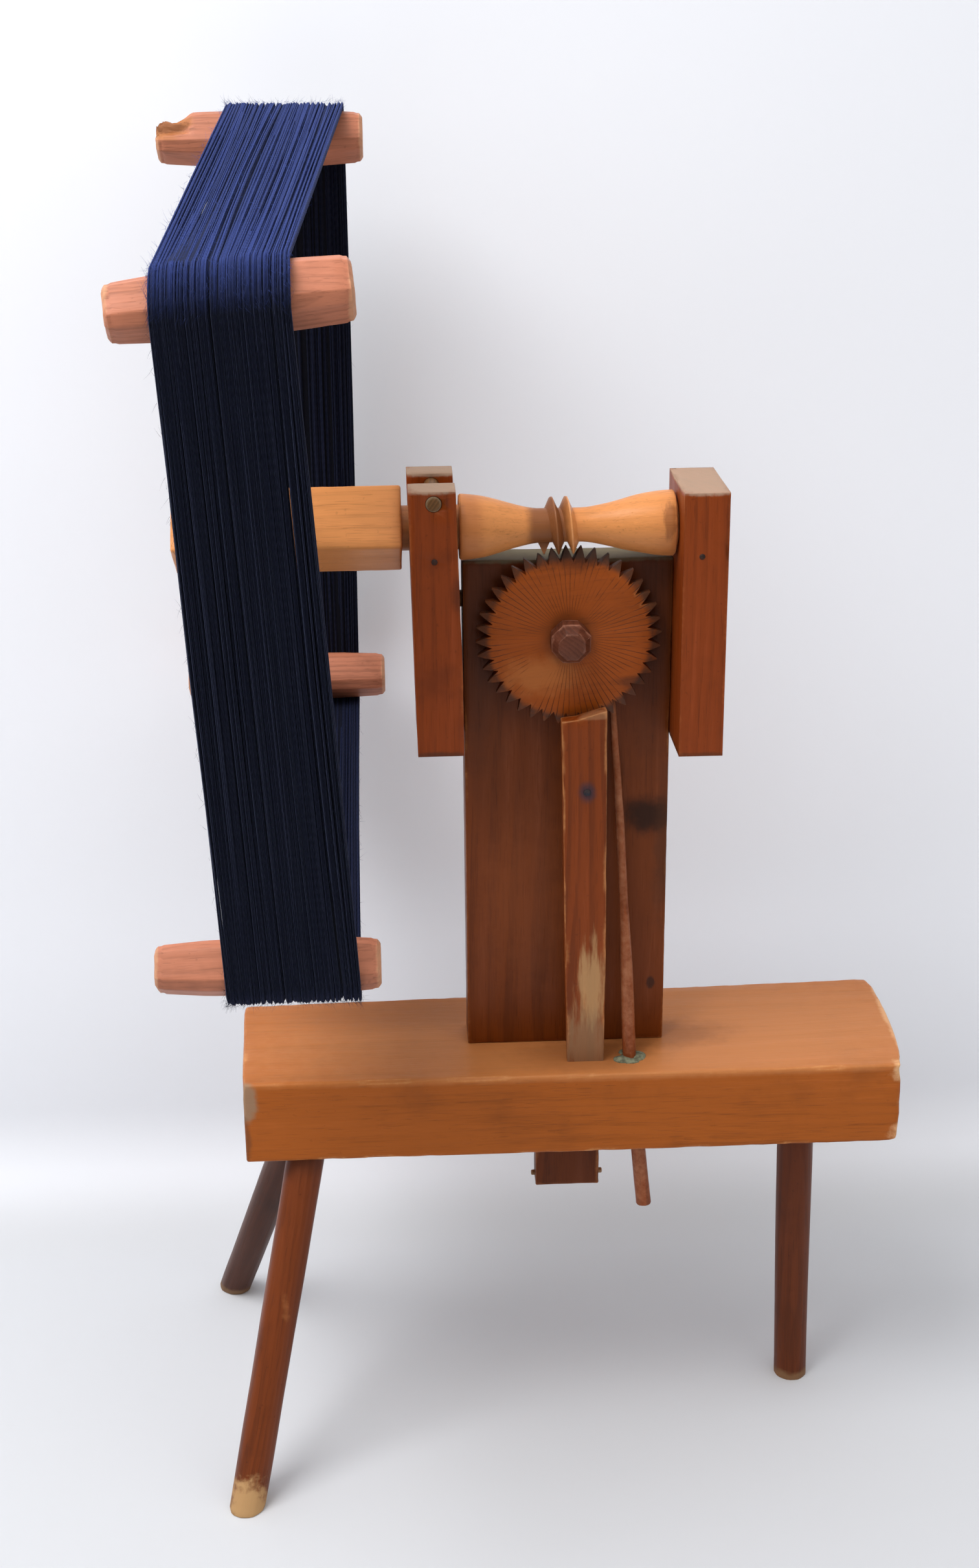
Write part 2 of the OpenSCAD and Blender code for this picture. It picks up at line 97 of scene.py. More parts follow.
class ReelStageSettings(bpy.types.PropertyGroup):
    """Camera, floor, wall and lights."""
    lens: bpy.props.FloatProperty(
        name="Lens", description="Focal length of the camera", default=78.97, min=20, max=200, unit="CAMERA"
    )
    place: bpy.props.FloatVectorProperty(
        name="Camera place", description="Where the camera stands", subtype="TRANSLATION", unit="LENGTH",
        default=(-0.10954, -1.44786, 1.06901),
    )
    turn: bpy.props.FloatVectorProperty(
        name="Camera turn", description="Yaw towards +X, pitch and roll of the camera",
        subtype="EULER", unit="ROTATION",
        default=(math.radians(2.8487), math.radians(-20.6767), math.radians(-0.4554)),
    )
    floor_colour: colour_setting("Floor", "Colour of the floor", (206, 208, 212))
    wall_colour: colour_setting("Wall", "Colour of the wall behind", (238, 240, 246))
    key_power: bpy.props.FloatProperty(
        name="Key light", description="Power of the large soft light", default=42.0, min=0, unit="POWER"
    )
    fill_power: bpy.props.FloatProperty(
        name="Fill light", description="Power of the light at the right", default=2.2, min=0, unit="POWER"
    )
    sky: bpy.props.FloatProperty(
        name="Surround", description="Strength of the even light from all round", default=1.05, min=0
    )


class ReelWoodSettings(bpy.types.PropertyGroup):
    """Colours of the wooden pieces, and how softly their edges are rounded."""
    plank: colour_setting("Plank", "Colour of the base plank", (168, 87, 21))
    leg: colour_setting("Legs", "Colour of the legs", (110, 51, 18))
    post: colour_setting("Post", "Colour of the upright post", (113, 52, 11))
    support: colour_setting("Supports", "Colour of the axle supports", (136, 58, 13))
    axle: colour_setting("Axle", "Colour of the axle and hub", (217, 142, 81))
    spoke: colour_setting("Spokes", "Colour of the spokes", (166, 104, 66))
    bar: colour_setting("Crossbars", "Colour of the crossbars", (186, 117, 89))
    wheel: colour_setting("Wheel", "Colour of the counting wheel", (157, 75, 18))
    pin: colour_setting("Wheel pin", "Colour of the wheel's pin", (104, 58, 41))
    board: colour_setting("Sounding board", "Colour of the sounding board", (131, 58, 13))
    rod: colour_setting("Click rod", "Colour of the click rod", (131, 59, 19))
    peg: colour_setting("Pegs", "Colour of the keeper pin and pegs", (114, 78, 44))
    edge: bpy.props.FloatProperty(
        name="Edge rounding", description="Radius that sawn edges have worn to",
        default=0.0018, min=0.0003, max=0.004, unit="LENGTH",
    )


class ReelYarnSettings(bpy.types.PropertyGroup):
    """The wound yarn."""
    yarn: colour_setting("Yarn", "Colour of the yarn", (34, 46, 92))
    thickness: bpy.props.FloatProperty(
        name="Yarn thickness", description="Diameter of one strand", default=0.0015, min=0.0006, max=0.003,
        unit="LENGTH",
    )
    turns: bpy.props.IntProperty(
        name="Turns", description="Strands wound on the reel", default=400, min=40, max=600
    )
    fibres: bpy.props.IntProperty(
        name="Loose fibres", description="Fine fibres standing off the yarn", default=5200, min=0, max=6000
    )


# ---------------------------------------------------------------- places and meshes

def at(x, y, z):
    """A point measured in millimetres from the post's centre line, in the part's own frame."""
    return Vector(((x + POST_X) * MM, y * MM, z * MM))


def place_angle(n):
    """The angle of spoke n round the axle, counting on past a full turn."""
    return REEL_ANGLE + SPOKE_TURN[n % 4] + 360 * (n // 4)


def span_angle(n):
    """The angle that the yarn faces between bar n and the next."""
    return (place_angle(n) + place_angle(n + 1)) / 2


def reel_place(n):
    """Puts a piece drawn with X along the axle and Z outwards at place n round the reel."""
    turn = math.radians(place_angle(n) - 90)
    return Matrix.Translation(at(REEL_X, 0, AXLE_H)) @ Matrix.Rotation(turn, 4, "X")


def line_up(start, towards):
    """Turns +Z to the way from start to towards, with the origin at start."""
    way = (towards - start).normalized()
    return Matrix.Translation(start) @ way.to_track_quat("Z", "Y").to_matrix().to_4x4()


def cube(bm, lo, hi):
    """A box between two corners."""
    lo, hi = Vector(lo), Vector(hi)
    size = hi - lo
    place = Matrix.Translation((lo + hi) / 2) @ Matrix.Diagonal((size.x, size.y, size.z, 1))
    return bmesh.ops.create_cube(bm, size=1, matrix=place)["verts"]


def new_points(geom):
    """The points among what an operator has just made."""
    return [g for g in geom if isinstance(g, bmesh.types.BMVert)]


def draw_out(bm, face, keep):
    """Extrudes one face, and gives back the new points and the new face. The old face stays where it was
    whatever keep says; keep is handed on as use_keep_orig.
    """
    drawn = bmesh.ops.extrude_face_region(bm, geom=[face], use_keep_orig=keep)["geom"]
    return new_points(drawn), [g for g in drawn if isinstance(g, bmesh.types.BMFace)][0]


def join_into(bm, one):
    """Adds the piece one to bm, and frees it."""
    mesh = bpy.data.meshes.new("part")
    one.to_mesh(mesh)
    one.free()
    bm.from_mesh(mesh)
    bpy.data.meshes.remove(mesh)


def slab(bm, outline, way):
    """A flat outline drawn out along way."""
    face = bm.faces.new([bm.verts.new(p) for p in outline])
    drawn = bmesh.ops.extrude_face_region(bm, geom=[face], use_keep_orig=True)["geom"]
    bmesh.ops.translate(bm, verts=new_points(drawn), vec=way)
    bmesh.ops.recalc_face_normals(bm, faces=bm.faces[:])


def sharp_edges(bm, least=25):
    limit = math.radians(least)
    return [e for e in bm.edges if e.is_manifold and e.calc_face_angle(0) > limit]


def round_edges(bm, edges, width, segments=2):
    bmesh.ops.bevel(
        bm, geom=edges, offset=width, offset_type="OFFSET", segments=segments,
        profile=0.5, affect="EDGES", material=-1, clamp_overlap=True,
    )


def cut_along(bm, axis, places):
    """Adds a ring of edges across the piece at each place along one axis."""
    way = Vector((0, 0, 0))
    way[axis] = 1
    for place in places:
        geom = bm.verts[:] + bm.edges[:] + bm.faces[:]
        bmesh.ops.bisect_plane(bm, geom=geom, plane_co=way * place, plane_no=way, dist=2e-5)


def stations(lo, hi, step, margin=0.0045):
    """Places from lo to hi about a step apart, with one close inside each end."""
    inner = [lo + margin, hi - margin]
    count = max(1, int((inner[1] - inner[0]) / step))
    return [inner[0] + (inner[1] - inner[0]) * i / count for i in range(count + 1)]


def grid_cuts(bm, steps):
    """Cuts a piece into a grid, so that wear and dents have points to move."""
    for axis, step in enumerate(steps):
        if step:
            places = [v.co[axis] for v in bm.verts]
            cut_along(bm, axis, stations(min(places), max(places), step))


def mark_wear(bm):
    """Notes on each point how sharp the surface turns there, from 0 on a flat to 1 on an edge."""
    layer = bm.verts.layers.float.get("wear") or bm.verts.layers.float.new("wear")
    for v in bm.verts:
        v[layer] = 0
        if v.link_faces:
            mean = sum((f.normal for f in v.link_faces), Vector()).normalized()
            turn = max(mean.angle(f.normal, 0) for f in v.link_faces if f.normal.length > 0.5)
            v[layer] = min(1, max(0, (math.degrees(turn) - 6) / 14))
    return layer


def roughen(bm, amount, size, chip=0.0, seed=0.0, along=None):
    """Moves the points a little: soft dents on the flats, and chips on the edges."""
    bm.normal_update()
    layer = mark_wear(bm)
    shift = Vector((seed * 7.31, seed * 3.77, seed * 5.13))
    moves = []
    for v in bm.verts:
        where = v.co / size
        if along is not None:
            where[along] *= 0.2
        dent = noise.noise(where + shift) * amount
        rough = max(0, noise.noise(v.co / (size * 0.22) + shift) - 0.05)
        moves.append(v.normal * (dent - chip * v[layer] * rough * 2.2))
    for v, move in zip(bm.verts, moves):
        v.co += move


def close_up(bm):
    bmesh.ops.remove_doubles(bm, verts=bm.verts[:], dist=1e-6)
    bmesh.ops.recalc_face_normals(bm, faces=bm.faces[:])


def spun(bm, profile, steps, wobble=0.0, seed=0):
    """Turns a profile of (place, radius) points round +Z into a closed solid."""
    points = [bm.verts.new((r, 0, z)) for z, r in profile]
    edges = [bm.edges.new(pair) for pair in zip(points, points[1:])]
    bmesh.ops.spin(
        bm, geom=points + edges, cent=(0, 0, 0), axis=(0, 0, 1), dvec=(0, 0, 0),
        angle=2 * math.pi, steps=steps, use_merge=True, use_duplicate=False,
    )
    close_up(bm)
    if wobble:
        for v in bm.verts:
            flat = Vector((v.co.x, v.co.y, 0))
            if flat.length > 1e-5:
                v.co += flat.normalized() * noise.noise(v.co / 0.02 + Vector((seed, 0, 0))) * wobble


def tube(bm, path, sides=14):
    """A round bar through (point, radius) places, closed at both ends."""
    start, radius = path[0]
    way = (path[1][0] - start).normalized()
    turn = way.to_track_quat("Z", "X").to_matrix().to_4x4()
    bmesh.ops.create_circle(
        bm, cap_ends=True, radius=radius, segments=sides, matrix=Matrix.Translation(start) @ turn
    )
    face = bm.faces[:][-1]
    first = face
    for here, after in zip(path, path[1:]):
        verts, face = draw_out(bm, face, keep=face is first)
        bmesh.ops.translate(bm, verts=verts, vec=after[0] - here[0])
        grow = after[1] / here[1]
        bmesh.ops.scale(
            bm, verts=verts, vec=(grow, grow, grow), space=Matrix.Translation(-after[0])
        )
    bmesh.ops.recalc_face_normals(bm, faces=bm.faces[:])


def add_piece(name, bm, material, body, nodes=(), smooth=42, ride=True):
    """Makes the object, gives it its material, and tells the frame what it rides on."""
    mesh = bpy.data.meshes.new(name)
    bm.normal_update()
    mark_wear(bm)
    bm.to_mesh(mesh)
    bm.free()
    mesh.shade_smooth()
    mesh.set_sharp_from_angle(angle=math.radians(smooth))
    mesh.materials.append(material)
    piece = bpy.data.objects.new(name, mesh)
    bpy.context.scene.collection.objects.link(piece)
    if ride:
        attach(piece, body)
    if nodes:
        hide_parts(*nodes)
    return piece


def copied(node):
    """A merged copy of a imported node's mesh, with its triangles joined into flat faces."""
    bm = bmesh.new()
    bm.from_mesh(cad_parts[node].data)
    bmesh.ops.remove_doubles(bm, verts=bm.verts[:], dist=1e-5)
    bmesh.ops.dissolve_limit(
        bm, angle_limit=math.radians(1), verts=bm.verts[:], edges=bm.edges[:], use_dissolve_boundaries=False
    )
    return bm


# ---------------------------------------------------------------- shader groups

def put(tree, kind, settings=None, **inputs):
    """Adds a node, sets it, and joins or fills its sockets. A socket's name has _ for a space."""
    made = tree.nodes.new(kind)
    for key, value in (settings or {}).items():
        setattr(made, key, value)
    for key, value in inputs.items():
        socket = made.inputs[int(key[1:])] if key[0] == "i" and key[1:].isdigit() \
            else made.inputs[key.replace("_", " ")]
        if isinstance(value, bpy.types.NodeSocket):
            tree.links.new(value, socket)
        else:
            socket.default_value = value
    return made


def maths(tree, how, a, b=0.0, clamp=False):
    return put(tree, "ShaderNodeMath", {"operation": how, "use_clamp": clamp}, i0=a, i1=b).outputs[0]


def times(tree, a, b):
    return maths(tree, "MULTIPLY", a, b)


def plus(tree, a, b, clamp=False):
    return maths(tree, "ADD", a, b, clamp)


def minus(tree, a, b):
    return maths(tree, "SUBTRACT", a, b)


def vector_maths(tree, how, a, b=(0, 0, 0)):
    made = put(tree, "ShaderNodeVectorMath", {"operation": how}, i0=a, i1=b)
    return made.outputs["Value" if how == "LENGTH" else "Vector"]


def stretched(tree, a, b):
    """A vector multiplied by another, part by part."""
    return vector_maths(tree, "MULTIPLY", a, b)


def mixed(tree, factor, a, b, how="MIX"):
    """Mixes two colours."""
    return put(
        tree, "ShaderNodeMix", {"data_type": "RGBA", "blend_type": how, "clamp_factor": True},
        i0=factor, i6=a, i7=b,
    ).outputs[2]


def ramp(tree, value, low, high, out_low=0.0, out_high=1.0, how="SMOOTHSTEP"):
    return put(
        tree, "ShaderNodeMapRange", {"interpolation_type": how}, Value=value,
        From_Min=low, From_Max=high, To_Min=out_low, To_Max=out_high,
    ).outputs[0]


def noise_value(tree, vector, scale, detail=2.0, roughness=0.5):
    return put(
        tree, "ShaderNodeTexNoise", Vector=vector, Scale=scale, Detail=detail, Roughness=roughness
    ).outputs[0]


def new_group(name, takes, gives):
    """An empty shader group with the named sockets, and its input and output nodes."""
    tree = bpy.data.node_groups.new(name, "ShaderNodeTree")
    for kind, label, default in takes:
        socket = tree.interface.new_socket(label, in_out="INPUT", socket_type="NodeSocket" + kind)
        socket.default_value = default
    for kind, label in gives:
        tree.interface.new_socket(label, in_out="OUTPUT", socket_type="NodeSocket" + kind)
    return tree, tree.nodes.new("NodeGroupInput").outputs, tree.nodes.new("NodeGroupOutput").inputs


def wood_grain_group():
    """Growth rings, streaks and fibres that run along X."""
    tree, given, out = new_group(
        "wood_grain",
        [("Vector", "Vector", (0, 0, 0)), ("Color", "Deep", (0, 0, 0, 1)), ("Color", "Plain", (0, 0, 0, 1)),
         ("Color", "Pale", (0, 0, 0, 1)), ("Float", "Ring Gap", 0.006), ("Float", "Ring Strength", 0.5),
         ("Float", "Blotch", 0.5)],
        [("Color", "Color"), ("Float", "Height"), ("Float", "Streak")],
    )
    here = given["Vector"]
    slow = stretched(tree, here, (0.14, 1, 1))
    wander = put(tree, "ShaderNodeTexNoise", Vector=slow, Scale=11.0, Detail=2.0).outputs[1]
    wander = stretched(tree, vector_maths(tree, "SUBTRACT", wander, (0.5, 0.5, 0.5)), (0, 0.05, 0.05))
    bent = vector_maths(tree, "ADD", here, wander)
    flat = stretched(tree, vector_maths(tree, "ADD", bent, (0, 0.043, 0.071)), (0.035, 1, 1))
    rings = maths(tree, "FRACT", maths(tree, "DIVIDE", vector_maths(tree, "LENGTH", flat), given["Ring Gap"]))
    late = times(tree, ramp(tree, rings, 0.15, 0.86), ramp(tree, rings, 1.0, 0.9))
    streak = noise_value(tree, stretched(tree, bent, (5, 130, 130)), 1.0, 4.0, 0.62)
    fibre = noise_value(tree, stretched(tree, here, (38, 900, 900)), 1.0, 2.0, 0.6)
    blotch = noise_value(tree, stretched(tree, here, (6, 16, 16)), 1.0, 3.0, 0.55)
    pores = ramp(tree, noise_value(
        tree, stretched(tree, here, (55, 1300, 1300)), 1.0, 0.0), 0.68, 0.74)
    tone = plus(tree, 0.5, times(tree, minus(tree, streak, 0.5), 0.9))
    tone = plus(tree, tone, times(tree, minus(tree, blotch, 0.5), times(tree, given["Blotch"], 2.2)))
    tone = plus(tree, tone, times(tree, minus(tree, fibre, 0.5), 0.6))
    tone = minus(tree, tone, times(tree, late, given["Ring Strength"]))
    tone = minus(tree, tone, times(tree, pores, 0.22))
    low = mixed(tree, ramp(tree, tone, 0.0, 0.5), given["Deep"], given["Plain"])
    tree.links.new(mixed(tree, ramp(tree, tone, 0.5, 1.05), low, given["Pale"]), out["Color"])
    height = plus(tree, times(tree, fibre, 0.55), times(tree, streak, 0.5))
    height = minus(tree, height, times(tree, pores, 0.5))
    tree.links.new(minus(tree, height, times(tree, late, 0.25)), out["Height"])
    tree.links.new(streak, out["Streak"])
    return tree


def spot_group():
    """A ragged patch round a centre: 1 inside, 0 outside."""
    tree, given, out = new_group(
        "ragged_spot",
        [("Vector", "Vector", (0, 0, 0)), ("Vector", "Centre", (0, 0, 0)), ("Vector", "Size", (1, 1, 1)),
         ("Float", "Ragged", 0.5), ("Float", "Softness", 0.3), ("Float", "Grain", 90.0),
         ("Vector", "Stretch", (1, 1, 1))],
        [("Float", "Mask")],
    )
    away = vector_maths(
        tree, "DIVIDE", vector_maths(tree, "SUBTRACT", given["Vector"], given["Centre"]), given["Size"]
    )
    far = vector_maths(tree, "LENGTH", away)
    rough = noise_value(tree, stretched(tree, given["Vector"], given["Stretch"]), given["Grain"], 4.0, 0.6)
    edge = plus(tree, far, times(tree, minus(tree, rough, 0.5), given["Ragged"]))
    out_far = plus(tree, 1.0, given["Softness"])
    in_far = minus(tree, 1.0, given["Softness"])
    tree.links.new(ramp(tree, edge, out_far, in_far), out["Mask"])
    return tree


def wear_group():
    """Rubbed edges: follows the wear noted on the points, broken up by noise."""
    tree, given, out = new_group(
        "rubbed_edges",
        [("Vector", "Vector", (0, 0, 0)), ("Float", "Wear", 0.0), ("Float", "Amount", 0.5)],
        [("Float", "Mask")],
    )
    coarse = noise_value(tree, given["Vector"], 28.0, 3.0, 0.6)
    fine = noise_value(tree, given["Vector"], 260.0, 3.0, 0.65)
    both = plus(tree, times(tree, coarse, 0.65), times(tree, fine, 0.45))
    worn = times(tree, given["Wear"], plus(tree, both, minus(tree, given["Amount"], 0.55)))
    tree.links.new(ramp(tree, worn, 0.18, 0.75), out["Mask"])
    return tree


def grime_group():
    """Handling dirt: dark cloudy patches and small specks."""
    tree, given, out = new_group(
        "handling_dirt",
        [("Vector", "Vector", (0, 0, 0)), ("Float", "Amount", 0.4)],
        [("Float", "Mask")],
    )
    cloud = ramp(tree, noise_value(tree, given["Vector"], 19.0, 4.0, 0.62), 0.5, 0.78)
    speck = ramp(tree, noise_value(tree, given["Vector"], 330.0, 1.0, 0.5), 0.70, 0.78)
    both = plus(tree, cloud, times(tree, speck, 0.7), clamp=True)
    tree.links.new(times(tree, both, given["Amount"]), out["Mask"])
    return tree


GROUPS = {}


def group(tree, name, **inputs):
    """Places one of the shared groups in a material."""
    makers = {"grain": wood_grain_group, "spot": spot_group, "wear": wear_group, "grime": grime_group}
    if name not in GROUPS:
        GROUPS[name] = makers[name]()
    return put(tree, "ShaderNodeGroup", {"node_tree": GROUPS[name]}, **inputs).outputs


# ---------------------------------------------------------------- materials

def rgba(colour, gain=1.0):
    return (min(1, colour[0] * gain), min(1, colour[1] * gain), min(1, colour[2] * gain), 1)


def new_material(name):
    material = bpy.data.materials.new(name)
    material.use_nodes = True
    tree = material.node_tree
    shader = tree.nodes["Principled BSDF"]
    return material, tree, shader


def grain_vector(tree, place, along, turn=0.0):
    """Object coordinates turned so that the grain runs along X, from a point on the piece."""
    way = Vector(along).normalized()
    turned = way.to_track_quat("X", "Z").to_matrix().inverted()
    turned = Matrix.Rotation(turn, 3, "X") @ turned
    back = -(turned @ Vector(place))
    coords = put(tree, "ShaderNodeTexCoord").outputs["Object"]
    return coords, put(
        tree, "ShaderNodeMapping", {"vector_type": "POINT"}, Vector=coords,
        Location=tuple(back), Rotation=tuple(turned.to_euler()),
    ).outputs[0]


def spot(place, size, colour, **how):
    """A patch of its own colour on a piece, placed and sized in millimetres, for wood to lay on."""
    return {"at": place, "size": size, "colour": colour, **how}


def wood(name, colour, place, along, ring_gap=0.006, ring_strength=0.35, blotch=0.45, gloss=0.48,
         worn=(0.55, 0.33, 0.18), worn_amount=0.5, dirt=0.4, turn=0.0, bump=0.35, spots=(), contrast=0.6):
    """Finished wood: grain, rubbed edges, handling dirt and any patches of its own, some of them painted
    light and shade.
    """
    material, tree, shader = new_material(name)
    coords, grain_at = grain_vector(tree, place, along, turn)
    deep = tuple(c * (1 - 0.5 * contrast) for c in colour)
    pale = tuple(c * (1 + 0.42 * contrast) + 0.012 * contrast for c in colour)
    grain = group(
        tree, "grain", Vector=grain_at, Deep=rgba(deep), Plain=rgba(colour), Pale=rgba(pale),
        Ring_Gap=ring_gap, Ring_Strength=ring_strength, Blotch=blotch,
    )
    tone = grain["Color"]
    dirty = group(tree, "grime", Vector=coords, Amount=dirt)["Mask"]
    tone = mixed(tree, dirty, tone, rgba(tuple(c * 0.33 for c in colour)))
    wear = put(tree, "ShaderNodeAttribute", {"attribute_name": "wear"}).outputs["Fac"]
    rubbed = group(tree, "wear", Vector=coords, Wear=wear, Amount=worn_amount)["Mask"]
    tone = mixed(tree, rubbed, tone, rgba(worn))
    rough = ramp(tree, grain["Streak"], 0.3, 0.7, gloss + 0.07, gloss - 0.05)
    for spot in spots:
        mask = group(
            tree, "spot", Vector=coords, Centre=tuple(at(*spot["at"])),
            Size=tuple(s * MM for s in spot["size"]), Ragged=spot.get("ragged", 0.6),
            Softness=spot.get("soft", 0.3), Grain=spot.get("grain", 90.0),
            Stretch=spot.get("stretch", (1, 1, 1)),
        )["Mask"]
        mask = times(tree, mask, spot.get("strength", 0.8))
        tone = mixed(tree, mask, tone, rgba(spot["colour"]), spot.get("how", "MIX"))
        if "rough" in spot:
            rough = put(
                tree, "ShaderNodeMix", {"data_type": "FLOAT"}, i0=mask, i2=rough, i3=spot["rough"]
            ).outputs[0]
    tree.links.new(tone, shader.inputs["Base Color"])
    tree.links.new(rough, shader.inputs["Roughness"])
    shader.inputs["Specular IOR Level"].default_value = 0.2
    lump = put(
        tree, "ShaderNodeBump", Strength=bump, Distance=0.0005, Height=grain["Height"]
    ).outputs[0]
    tree.links.new(lump, shader.inputs["Normal"])
    return material


def plain_finish(name, colour, second, scale, rough, metal=0.0, bump=0.3):
    """Iron, leather or putty: two mottled tones with a matching bump."""
    material, tree, shader = new_material(name)
    coords = put(tree, "ShaderNodeTexCoord").outputs["Object"]
    spread = noise_value(tree, coords, scale, 5.0, 0.65)
    mask = ramp(tree, spread, 0.35, 0.66)
    tree.links.new(mixed(tree, mask, rgba(colour), rgba(second)), shader.inputs["Base Color"])
    tree.links.new(ramp(tree, spread, 0.3, 0.7, rough - 0.1, rough + 0.12), shader.inputs["Roughness"])
    shader.inputs["Metallic"].default_value = metal
    fine = noise_value(tree, coords, scale * 4, 3.0, 0.6)
    lump = put(tree, "ShaderNodeBump", Strength=bump, Distance=0.0006, Height=fine).outputs[0]
    tree.links.new(lump, shader.inputs["Normal"])
    return material


def yarn_finish(name, colour, twist=True):
    """Wool: plies that twist round each strand, a soft sheen, and strands of slightly different shades; the
    shade attribute also carries painted light and shade, and the grooves between plies are painted darker.
    """
    material, tree, shader = new_material(name)
    shade = put(tree, "ShaderNodeAttribute", {"attribute_name": "shade"}).outputs["Fac"]
    coords = put(tree, "ShaderNodeTexCoord").outputs["Object"]
    fluff = noise_value(tree, coords, 420.0, 3.0, 0.6)
    # The shade attribute picks between a near-black and a pale tone; it holds random tone from strand to
    # strand times painted light and shade.
    tone = mixed(
        tree, shade, rgba(tuple(0.003 + c * 0.06 for c in colour)), rgba(tuple(c * 2.3 for c in colour))
    )
    # Pale fluff, strongest where the shade attribute paints the yarn as lit.
    pale_fluff_on_lit_yarn = times(tree, times(tree, ramp(tree, fluff, 0.45, 0.75), 0.5), shade)
    tone = mixed(tree, pale_fluff_on_lit_yarn, tone, rgba(colour, 2.2))
    height = fluff
    if twist:
        uv = put(tree, "ShaderNodeUVMap", {"uv_map": "strand"}).outputs[0]
        parts = put(tree, "ShaderNodeSeparateXYZ", Vector=uv).outputs
        phase = plus(tree, times(tree, parts[0], 560.0), times(tree, parts[1], 2.0))
        phase = plus(tree, phase, times(tree, shade, 41.0))
        ply = maths(tree, "PINGPONG", phase, 0.5)
        ply = times(tree, ply, 2.0)
        # Painted shade: the grooves between the plies are darker.
        tone = mixed(tree, times(tree, ramp(tree, ply, 0.5, 0.0), 0.3), tone, rgba(colour, 0.25))
        height = plus(tree, times(tree, ply, 0.8), times(tree, fluff, 0.4))
    tree.links.new(tone, shader.inputs["Base Color"])
    shader.inputs["Roughness"].default_value = 0.85
    shader.inputs["Specular IOR Level"].default_value = 0.12
    shader.inputs["Sheen Weight"].default_value = 0.12
    shader.inputs["Sheen Roughness"].default_value = 0.45
    shader.inputs["Sheen Tint"].default_value = rgba((0.35, 0.42, 0.75))
    lump = put(tree, "ShaderNodeBump", Strength=0.3, Distance=0.0004, Height=height).outputs[0]
    tree.links.new(lump, shader.inputs["Normal"])
    return material


# ---------------------------------------------------------------- operators

class REEL_OT_camera(bpy.types.Operator):
    """Sets up the camera"""
    bl_idname = "clockreel.camera"
    bl_label = "Camera"

    def execute(self, context):
        settings = context.scene.reel_stage
        yaw, pitch, roll = settings.turn
        ahead = Vector((math.sin(yaw) * math.cos(pitch), math.cos(yaw) * math.cos(pitch), math.sin(pitch)))
        right = Vector((math.cos(yaw), -math.sin(yaw), 0))
        up = right.cross(ahead)
        side = right * math.cos(roll) + up * math.sin(roll)
        top = up * math.cos(roll) - right * math.sin(roll)
        data = bpy.data.cameras.new("camera")
        data.sensor_fit = "HORIZONTAL"
        data.sensor_width = 36.0
        data.lens = settings.lens
        camera = bpy.data.objects.new("camera", data)
        turned = Matrix((side, top, -ahead)).transposed()
        camera.matrix_world = Matrix.Translation(settings.place) @ turned.to_4x4()
        context.scene.collection.objects.link(camera)
        context.scene.camera = camera
        return {"FINISHED"}


